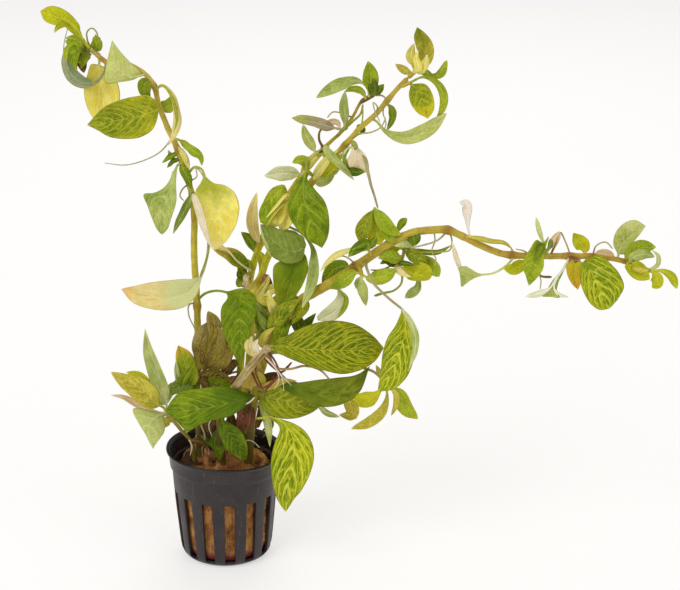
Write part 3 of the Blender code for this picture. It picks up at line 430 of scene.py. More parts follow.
def blade_skin(blade, path, seed):
    """The sheet moved along its normal by half a leaf to each side, and below by the midrib's bell too."""
    rows, columns = next(grid for wider, grid in GRIDS if blade.width > wider)
    shares = eased(rows)
    spine = at_shares(path, shares)
    ways = path_frame(path, blade.roll)
    across, upward = (read_off(shares, np.linspace(0, 1, STEPS), way) for way in ways)
    along = np.clip((shares - blade.stalk) / (1 - blade.stalk), 0, 1)
    offsets = margin_offsets(blade, spine, across, upward, along, shares)
    u, v = np.meshgrid(np.linspace(-1, 1, columns), along)
    margin = np.where((u < 0)[..., None], offsets[-1][:, None], offsets[1][:, None])
    phase = vein_phase(blade, u, v)
    sheet = blade_sheet(blade, spine, upward, margin, u, v, phase, seed)
    normal = unit(np.cross(np.gradient(sheet, axis=0), np.gradient(sheet, axis=1)))
    normal = normal * np.sign((normal * upward[:, None]).sum(axis=-1).sum())
    stalk = STALK_WIDTH * STALK_DEPTH * (1 - STALK_TAPER * shares)[:, None]
    stalk = stalk * np.clip(1 - v / STALK_RUN, 0, 1)
    thick = np.maximum(stalk, LEAF_THICKNESS / 2) * np.sqrt(1 - np.abs(u) ** 3) * (1 - 0.7 * v ** 10)
    aside = u * np.linalg.norm(margin, axis=-1)
    rib = RIB * np.exp(-(aside / RIB_WIDTH) ** 2) * (1 - 0.8 * v)
    rings = looped(sheet + normal * thick[..., None], sheet - normal * (thick + rib)[..., None])
    leaf = np.stack((u, v - (v == 0) * 0.01, phase), axis=-1)
    length = np.broadcast_to(shares[:, None] * walked(path)[-1], u.shape)
    skin = np.stack((aside / MM, length / MM, np.interp(v, (0, 1), blade.age)), axis=-1)
    side = looped(np.ones_like(u), np.zeros_like(u))
    return closed_skin(rings, looped(leaf, leaf), looped(skin, skin), side, blade.look)


print("a broad leaf is a grid of", GRIDS[0][1], "points")

# %% [markdown]
# ## A stem
# Ludwigia stems are round and jointed: at each node, where leaves leave, the stem is thicker and browner. A
# curve with a bevel would give an even pipe. A tube of rings, whose radius is a function of the length,
# also gives the nodes, the faint ridges and a slightly uneven skin.

# %% Stem tubes
STEM_SIDES = 20
TWIG_SIDES = 12
THREAD_SIDES = 6
JOINT_SWELL = 0.28
JOINT_REACH = 2.2 * MM
# Ridges round a stem, the size of its bumps, and how high both are, as a share of the radius
RIDGES = 5
BUMP_SIZE = 5 * MM
UNEVEN = 0.04
# 1 would round the ends to a point
BLUNTNESS = 0.9
RING_SPACING = 0.9 * MM
THREAD_SPACING = 1.2 * MM


class Stem(NamedTuple):
    """A stem from its foot in the plug, in millimetres, along the points where it is seen.

    The girths are diameters at even steps from the foot to the tip, and the joints are seen points of it.
    """

    foot: tuple
    seen: tuple
    girth: tuple
    leaflets: tuple = ()
    joints: tuple = ()
    look: str = "stem_olive"
    threads: tuple = ()


class Leaf(NamedTuple):
    """A leaf, or a shoot of several on a twig: what it grows on, its tone (not used), its parts, and its
    twig.
    """

    on: str
    tone: str
    blades: tuple
    twig: tuple = ()
    girth: tuple = (1.6, 1.2)
    threads: tuple = ()
    bark: str = "twig"


class Thread(NamedTuple):
    """A strand or root: where it is seen, its diameters at even steps in millimetres, and its finish."""

    seen: tuple
    girth: tuple = (0.7, 0.5)
    look: str = "strand"


def nearness(joints, centre, lengths):
    """How near each ring is to a joint: the highest of the bell curves exp(-(distance / reach) ** 2)."""
    seen = in_picture(centre)
    near = np.zeros(len(lengths))
    for joint in joints:
        at = np.linalg.norm(seen - np.array(joint), axis=1).argmin()
        near = np.maximum(near, np.exp(-((lengths - lengths[at]) / JOINT_REACH) ** 2))
    return near


def tube_skin(path, girth, sides, look, joints=(), spacing=RING_SPACING):
    """Ring point = centre + r (across cos t + up sin t), r swollen at joints and rounded at the ends."""
    length = walked(path)[-1]
    shares = np.linspace(0, 1, 4 + int(length / spacing))
    centre = at_shares(path, shares)
    across, up = path_frame(centre, (0, 0))
    turn, share = np.meshgrid(np.arange(sides) * 2 * math.pi / sides, shares)
    near = nearness(joints, centre, shares * length)
    radius = np.interp(shares, np.linspace(0, 1, len(girth)), girth) * MM / 2 * (1 + JOINT_SWELL * near)
    ends = np.clip(np.minimum(shares, 1 - shares) * length / (radius + 1e-9), 0, 1)
    radius = (radius * np.sqrt(1 - (1 - ends) ** 2 * BLUNTNESS))[:, None]
    ring = across[:, None] * np.cos(turn)[..., None] + up[:, None] * np.sin(turn)[..., None]
    bumps = np.sin(RIDGES * turn + 3 * share) / 2 + ripple(centre[:, None] + ring * MM, BUMP_SIZE, 3)
    rings = centre[:, None] + ring * (radius * (1 + UNEVEN * bumps))[..., None]
    leaf = np.stack((turn / math.pi - 1, share, np.broadcast_to(near[:, None], turn.shape)), axis=-1)
    skin = np.stack((np.cos(turn) * radius, np.sin(turn) * radius, share * length), axis=-1) / MM
    return closed_skin(rings, leaf, skin, np.ones_like(turn), look)


def thread_skins(threads, line):
    """Each strand as a thin tube that begins on the line that carries it."""
    return [
        tube_skin(placed(seen, line), girth, THREAD_SIDES, look, spacing=THREAD_SPACING)
        for seen, girth, look in threads
    ]


print("a stem has", STEM_SIDES, "sides, a twig", TWIG_SIDES, "and a thread", THREAD_SIDES)

# %% [markdown]
# ## Painting with nodes
# Each finish is a small network of shader nodes, so that its pattern has the same detail from every side.
# This helper adds a node, feeds it and hands back what comes out, and a finish then reads like a sum.

# %% A helper for node networks
def colour(code):
    """A screen colour such as #8aa010 as linear light: ((c + 0.055) / 1.055) ** 2.4 above 0.04045."""
    parts = np.array([int(code[k:k + 2], 16) / 255 for k in (1, 3, 5)])
    return (*np.where(parts > 0.04045, ((parts + 0.055) / 1.055) ** 2.4, parts / 12.92), 1)


class Paint:
    """A new material and short ways to add nodes to it; each way returns the socket that comes out."""

    def __init__(self, name, roughness, **constants):
        self.material = bpy.data.materials.new(name)
        self.material.use_nodes = True
        self.tree = self.material.node_tree
        self.shader = self.tree.nodes["Principled BSDF"]
        self.shader.inputs["Roughness"].default_value = roughness
        for socket, value in constants.items():
            self.shader.inputs[socket.replace("_", " ")].default_value = value

    def feed(self, socket, value):
        """Link a socket, or set its value."""
        if isinstance(value, bpy.types.NodeSocket):
            self.tree.links.new(value, socket)
        else:
            socket.default_value = value

    def add(self, kind, settings, **inputs):
        """A node with its settings, fed by name or, for k0, k1 and so on, by number."""
        node = self.tree.nodes.new(kind)
        for key, value in settings.items():
            setattr(node, key, value)
        for key, value in inputs.items():
            self.feed(node.inputs[int(key[1:]) if key[1:].isdigit() else key], value)
        return node

    def sum(self, operation, a, b=0.0, c=0.0):
        """One step of arithmetic."""
        return self.add("ShaderNodeMath", {"operation": operation}, k0=a, k1=b, k2=c).outputs[0]

    def times(self, a, b):
        """The product of two numbers."""
        return self.sum("MULTIPLY", a, b)

    def swung(self, mask, gain, base):
        """A base moved up and down by a mask whose middle is 0.5: (mask - 0.5) gain + base."""
        return self.sum("MULTIPLY_ADD", self.sum("SUBTRACT", mask, 0.5), gain, base)

    def step(self, value, low, high, start=0.0, end=1.0):
        """Smooth step from start to end as the value goes from low to high."""
        smooth = {"interpolation_type": "SMOOTHSTEP"}
        node = self.add("ShaderNodeMapRange", smooth, k0=value, k1=low, k2=high, k3=start, k4=end)
        return node.outputs[0]

    def mix(self, share, a, b):
        """Colour a where the share is 0 and colour b where it is 1."""
        node = self.add("ShaderNodeMix", {"data_type": "RGBA"}, k0=share)
        self.feed(node.inputs[6], a)
        self.feed(node.inputs[7], b)
        return node.outputs[2]

    def attribute(self, name, output="Vector"):
        """What each point of the skin carries under that name."""
        return self.add("ShaderNodeAttribute", {"attribute_name": name}).outputs[output]

    def split(self, vector):
        """The three numbers of a vector."""
        return self.add("ShaderNodeSeparateXYZ", {}, k0=vector).outputs

    def joined(self, x, y, z):
        """A vector from three numbers."""
        return self.add("ShaderNodeCombineXYZ", {}, k0=x, k1=y, k2=z).outputs[0]

    def place(self):
        """Where the point is on the object, in metres."""
        return self.add("ShaderNodeTexCoord", {}).outputs["Object"]

    def noise(self, vector, scale, detail):
        """Cloudy noise, near 0.5 in the middle."""
        return self.add("ShaderNodeTexNoise", {}, Vector=vector, Scale=scale, Detail=detail).outputs[0]

    def net(self, vector, scale):
        """How far a point is from the nearest line of an irregular net."""
        node = self.add("ShaderNodeTexVoronoi", {"feature": "DISTANCE_TO_EDGE"}, Vector=vector, Scale=scale)
        return node.outputs["Distance"]

    def relief(self, height, strength, depth):
        """Let a height between 0 and 1 shade as relief of that depth."""
        bump = self.add("ShaderNodeBump", {}, Strength=strength, Distance=depth, Height=height)
        self.feed(self.shader.inputs["Normal"], bump.outputs[0])

    def done(self, base, roughness=None):
        """Feed the colour and the roughness, and keep the finish under its name."""
        self.feed(self.shader.inputs["Base Color"], base)
        if roughness is not None:
            self.feed(self.shader.inputs["Roughness"], roughness)
        FINISHES[self.material.name] = self.material


# %% [markdown]
# ## Leaf finishes
# A fresh Ludwigia leaf is green, and its veins stay yellow where the green has faded between them. Older
# leaves go yellow, then tan, from the margin inwards, and the underside is a greyer, paler green. One
# recipe makes them all from a few colours: two greens that a cloud of noise mixes, with painted shade in
# the gaps between the veins and broad patches of painted light and shade, the vein net on top, the margin,
# the ageing and the underside. The veins come from the phase that each point carries. Where its
# fraction is near 0 there is a side vein.

# %% Leaf finishes
VEIN_HEIGHT = 0.35 * MM


def vein_masks(paint, u, v, phase, across, side, cloud, vein_width, net_share):
    """Two masks: on a side vein, the midrib or the fine net, and in the gaps between them, where painted
    shade falls.

    The phase, swung by the cloud and folded between 0 and 0.5, says how far the next side vein is.
    """
    out = paint.sum("ABSOLUTE", u)
    swing = paint.swung(cloud, 0.5, phase)
    apart = paint.sum("PINGPONG", swing, 0.5)
    wide = paint.step(out, 0.0, 1.0, vein_width, vein_width * 0.55)
    side_vein = paint.sum("SUBTRACT", 1.0, paint.step(apart, 0.0, paint.times(wide, 1.5)))
    side_vein = paint.times(side_vein, paint.step(out, 1.0, 0.75))
    midrib = paint.step(paint.sum("ABSOLUTE", across), paint.step(v, 0.0, 1.0, 0.95, 0.45), 0.2)
    cell = paint.net(paint.joined(paint.times(swing, 2.3), paint.times(u, 4.2), side), 1.0)
    netting = paint.times(paint.step(cell, 0.13, 0.0), net_share)
    veins = paint.sum("MAXIMUM", paint.sum("MAXIMUM", side_vein, midrib), netting)
    return veins, paint.times(paint.step(apart, 0.06, 0.3), paint.step(cell, 0.02, 0.16))


def leaf_finish(name, dark, light, vein, margin, aged, under, young="#3c5c00", vein_share=0.6,
                vein_width=0.14, net_share=0.4, gap_shade=0.7, under_share=0.85, roughness=0.42):
    """Colour = two greens mixed partly by painted light and shade, then veins, margin, age and underside
    over them, each by its mask.
    """
    paint = Paint(name, roughness, Subsurface_Weight=0.06, Subsurface_Scale=0.001, Specular_IOR_Level=0.12)
    u, v, phase = paint.split(paint.attribute("leaf"))
    across, along, age = paint.split(paint.attribute("skin"))
    side = paint.attribute("side", "Fac")
    place = paint.place()
    out = paint.sum("ABSOLUTE", u)
    broad = paint.noise(place, 75, 2)
    cloud = paint.noise(place, 260, 3)
    fine = paint.noise(place, 1000, 3)

    veins, gaps = vein_masks(paint, u, v, phase, across, side, cloud, vein_width, net_share)
    # Painted shade: the gaps between the veins are painted darker green, as in recesses.
    between = paint.swung(gaps, gap_shade, 0.5)
    drawn = paint.joined(paint.times(phase, 3.2), paint.times(u, 1.6), side)
    streaks = paint.noise(drawn, 1.0, 2)
    # Partly painted light and shade: the broad cloud lays lighter and darker patches over the green, as on
    # a curved blade, besides its own uneven tone.
    uneven = paint.swung(broad, 1.3, between)
    uneven = paint.swung(streaks, 0.8, uneven)
    depth = paint.swung(cloud, 0.7, uneven)
    green = paint.mix(paint.step(depth, 0.0, 0.9), colour(light), colour(dark))
    veined = paint.mix(paint.times(veins, vein_share), green, colour(vein))
    edged = paint.mix(paint.times(paint.step(out, 0.92, 1.0), 0.6), veined, colour(margin))
    patchy = paint.swung(cloud, 0.9, age)
    spread = paint.sum("ADD", patchy, paint.times(paint.step(out, 0.4, 1.0), 0.15))
    unripe = paint.mix(paint.step(spread, -0.05, -0.7, 0.0, 0.8), edged, colour(young))
    old = paint.mix(paint.times(paint.step(spread, 0.3, 0.75), 0.85), unripe, colour(aged))
    below = paint.mix(paint.times(veins, 0.45), colour(under), colour(vein))
    below = paint.mix(paint.step(depth, 0.1, 0.9, 0.0, 0.45), below, green)
    shown = paint.mix(paint.times(paint.step(side, 0.6, 0.4), under_share), old, below)
    grain = paint.mix(paint.step(fine, 0.4, 0.75, 0.0, 0.35), shown, colour(dark))
    sunk = paint.times(veins, paint.step(side, 0.4, 0.6, 0.5, -0.5))
    paint.relief(paint.sum("MULTIPLY_ADD", fine, 0.4, sunk), 0.5, VEIN_HEIGHT)
    paint.done(grain, paint.step(fine, 0.2, 0.8, roughness - 0.1, roughness + 0.12))


FAINT = {"gap_shade": 0.2, "vein_width": 0.06, "net_share": 0.16}
DRY = {"roughness": 0.55, **FAINT}
leaf_finish("fresh", "#4c6c00", "#92a410", "#c0cc50", "#8c8a18", "#d0b848", "#a4b058",
            vein_share=0.55, **FAINT)
leaf_finish("deep", "#385400", "#80980a", "#a8b448", "#647014", "#a0a030", "#889840",
            vein_share=0.5, **FAINT)
leaf_finish("mossy", "#54680c", "#8c961c", "#b0b440", "#646c18", "#a0983c", "#8c9838",
            vein_share=0.3, **FAINT)
leaf_finish("lime", "#809800", "#bcc830", "#dce06c", "#98a020", "#dcb838", "#b8c468",
            vein_share=0.55, young="#587804", **FAINT)
leaf_finish("netted", "#6c7c00", "#a4aa14", "#ccd058", "#a8a850", "#dcd028", "#a8b058",
            vein_width=0.1, net_share=0.3, gap_shade=0.4)
leaf_finish("veined", "#566c00", "#a0a408", "#ccc838", "#8a8218", "#d0b830", "#a4ac50",
            vein_share=0.7, vein_width=0.12, net_share=0.35, gap_shade=0.55)
leaf_finish("variegated", "#6c8400", "#b8bc0c", "#e8e854", "#8c8818", "#dccc34", "#b8bc68",
            vein_share=0.85, vein_width=0.13, net_share=0.3, gap_shade=0.5, young="#587804")
leaf_finish("bright", "#a0a800", "#d0d020", "#e8e854", "#b8a828", "#e4a830", "#c0c868",
            vein_share=0.6, **FAINT)
leaf_finish("yellow", "#ccc040", "#f0e47c", "#fcf8b8", "#c0b040", "#f0d898", "#dcd078",
            vein_share=0.7, young="#a4a81c", **FAINT)
# Straw is partly a paler yellow of its own and partly painted light: a lighter copy of yellow for leaves
# that lie in shade.
leaf_finish("straw", "#e8d448", "#fff480", "#fffcb8", "#c8b848", "#f4dca0", "#e8dc84",
            vein_share=0.7, young="#8ca010", **FAINT)
leaf_finish("ivory", "#dcdca4", "#f8f8d0", "#fffff0", "#c8c88c", "#f0dca8", "#ececc0",
            young="#b0bc60", **FAINT)
leaf_finish("pale", "#a4b040", "#dce090", "#f0f0b0", "#b0b058", "#ecdc94", "#d0d47c",
            under_share=0.8, young="#84982c", **FAINT)
leaf_finish("silver", "#9cac50", "#dce090", "#f0f0b8", "#a0a858", "#dcd084", "#c0c870",
            under_share=0.8, young="#7c9430", **FAINT)
leaf_finish("slate", "#748858", "#b0bc88", "#bccca0", "#84905c", "#b8b878", "#a4b084",
            under_share=0.8, young="#64783c", **FAINT)
leaf_finish("soft", "#849c38", "#c4cc70", "#dce0a0", "#8c9840", "#d0c060", "#a8b860",
            under_share=0.7, young="#587818", **FAINT)
leaf_finish("dull", "#5c741c", "#98a83c", "#bccc78", "#747c34", "#a8a03c", "#8c9c40",
            under_share=0.7, **FAINT)
leaf_finish("olive", "#a89c18", "#e0d454", "#ece47c", "#a48c30", "#d8b45c", "#c0b860",
            vein_share=0.5, vein_width=0.08, gap_shade=0.35, young="#5c7004")
leaf_finish("tan", "#dcc474", "#f4e69c", "#fcf8c8", "#c89858", "#e8b468", "#ecdc98", young="#ccd898", **DRY)
leaf_finish("cream", "#dcc898", "#f8ecc8", "#fff8dc", "#c0a474", "#e0c484", "#f0e4bc",
            young="#a0a858", **DRY)
leaf_finish("white", "#ecdcc4", "#fcf4e8", "#fffaf0", "#e0ccb0", "#ecd8b4", "#f4ead8", **DRY)
leaf_finish("rust", "#683420", "#9c6040", "#d0a080", "#502414", "#90583c", "#8c5c40", **DRY)
leaf_finish("pink", "#dcb484", "#f8e0b4", "#fcf0d0", "#b08858", "#dccc58", "#e8cca0", **DRY)
leaf_finish("mauve", "#8c7c5c", "#bcb088", "#d8ccac", "#84744c", "#b4bc58", "#a8a080", **DRY)
leaf_finish("withered", "#58480c", "#a89438", "#b0a048", "#4c3c0c", "#b0a060", "#8c7c38",
            net_share=0.7, roughness=0.6, young="#3c3408")
leaf_finish("russet", "#6c3c24", "#b0825c", "#d0a484", "#603424", "#a87840", "#a07858", **DRY)
leaf_finish("brown", "#38280c", "#745424", "#94743c", "#30200c", "#684818", "#6c5430",
            net_share=0.6, roughness=0.6)
print("leaf finishes:", ", ".join(FINISHES))

# %% [markdown]
# ## Stem finishes
# A stem is yellow-olive and goes tan towards its tip. It is streaked along its length, and browner at each
# joint. The streaks are noise read in the stem's own coordinates, squeezed along it, so they follow every
# bend and have no seam.

# %% Stem finishes
def stem_finish(name, foot, middle, tip, streak, joint, roughness=0.4, soil=0.8):
    """Colour = three tones by the share of the length, then streaks, brown joints and soil low down."""
    paint = Paint(name, roughness, Subsurface_Weight=0.05, Subsurface_Scale=0.001, Specular_IOR_Level=0.2)
    turn, share, near = paint.split(paint.attribute("leaf"))
    x, y, z = paint.split(paint.attribute("skin"))
    lines = paint.noise(paint.joined(x, y, paint.times(z, 0.06)), 2.6, 3)
    cloud = paint.noise(paint.joined(x, y, z), 0.35, 2)
    tone = paint.mix(paint.step(share, 0.1, 0.5), colour(foot), colour(middle))
    tone = paint.mix(paint.step(share, 0.5, 0.95), tone, colour(tip))
    streaked = paint.mix(paint.step(lines, 0.42, 0.66, 0.0, 0.75), tone, colour(streak))
    clouded = paint.mix(paint.step(cloud, 0.45, 0.75, 0.0, 0.5), streaked, colour(joint))
    browned = paint.times(near, paint.step(lines, 0.3, 0.6, 0.5, 0.95))
    jointed = paint.mix(browned, clouded, colour(joint))
    height = paint.sum("MULTIPLY_ADD", cloud, 16 * MM, paint.split(paint.place())[2])
    soiled = paint.mix(paint.step(height, 90 * MM, 66 * MM, 0.0, soil), jointed, colour("#5c4c20"))
    paint.relief(lines, 0.5, 0.3 * MM)
    paint.done(soiled, paint.step(lines, 0.3, 0.7, roughness - 0.1, roughness + 0.15))


stem_finish("stem_olive", "#c0b430", "#d0c444", "#ccb45c", "#a49828", "#a88034")
stem_finish("stem_yellow", "#b8b820", "#d4d034", "#c8b048", "#a8a01c", "#a08024")
stem_finish("stem_tan", "#a49c1c", "#b8a428", "#c0983c", "#ccbc54", "#986c28")
stem_finish("stem_dry", "#9c7c44", "#bca468", "#d8c48c", "#705430", "#60442c", roughness=0.6)
stem_finish("twig", "#a0a838", "#acb450", "#a0a848", "#7c8430", "#947c38")
stem_finish("twig_brown", "#745424", "#84642c", "#947a3c", "#54381c", "#4c3418")
stem_finish("strand", "#a8a468", "#bcb480", "#c4b88c", "#88805c", "#947c54")
stem_finish("root", "#ece4cc", "#f0e8d8", "#e8dcc0", "#d0b890", "#c8a87c", roughness=0.5, soil=0.2)
stem_finish("root_red", "#84402c", "#94543c", "#743c38", "#54281c", "#643424", roughness=0.5)
print("stem finishes added:", len(FINISHES), "in all")

# %% [markdown]
# ## The plant's parts
# These tables hold what was measured: each stem with its girths and joints, and each leaf with its midrib,
# its width and, for the big ones, both edges as seen. The names are those of the CAD solids that the pieces
# replace.

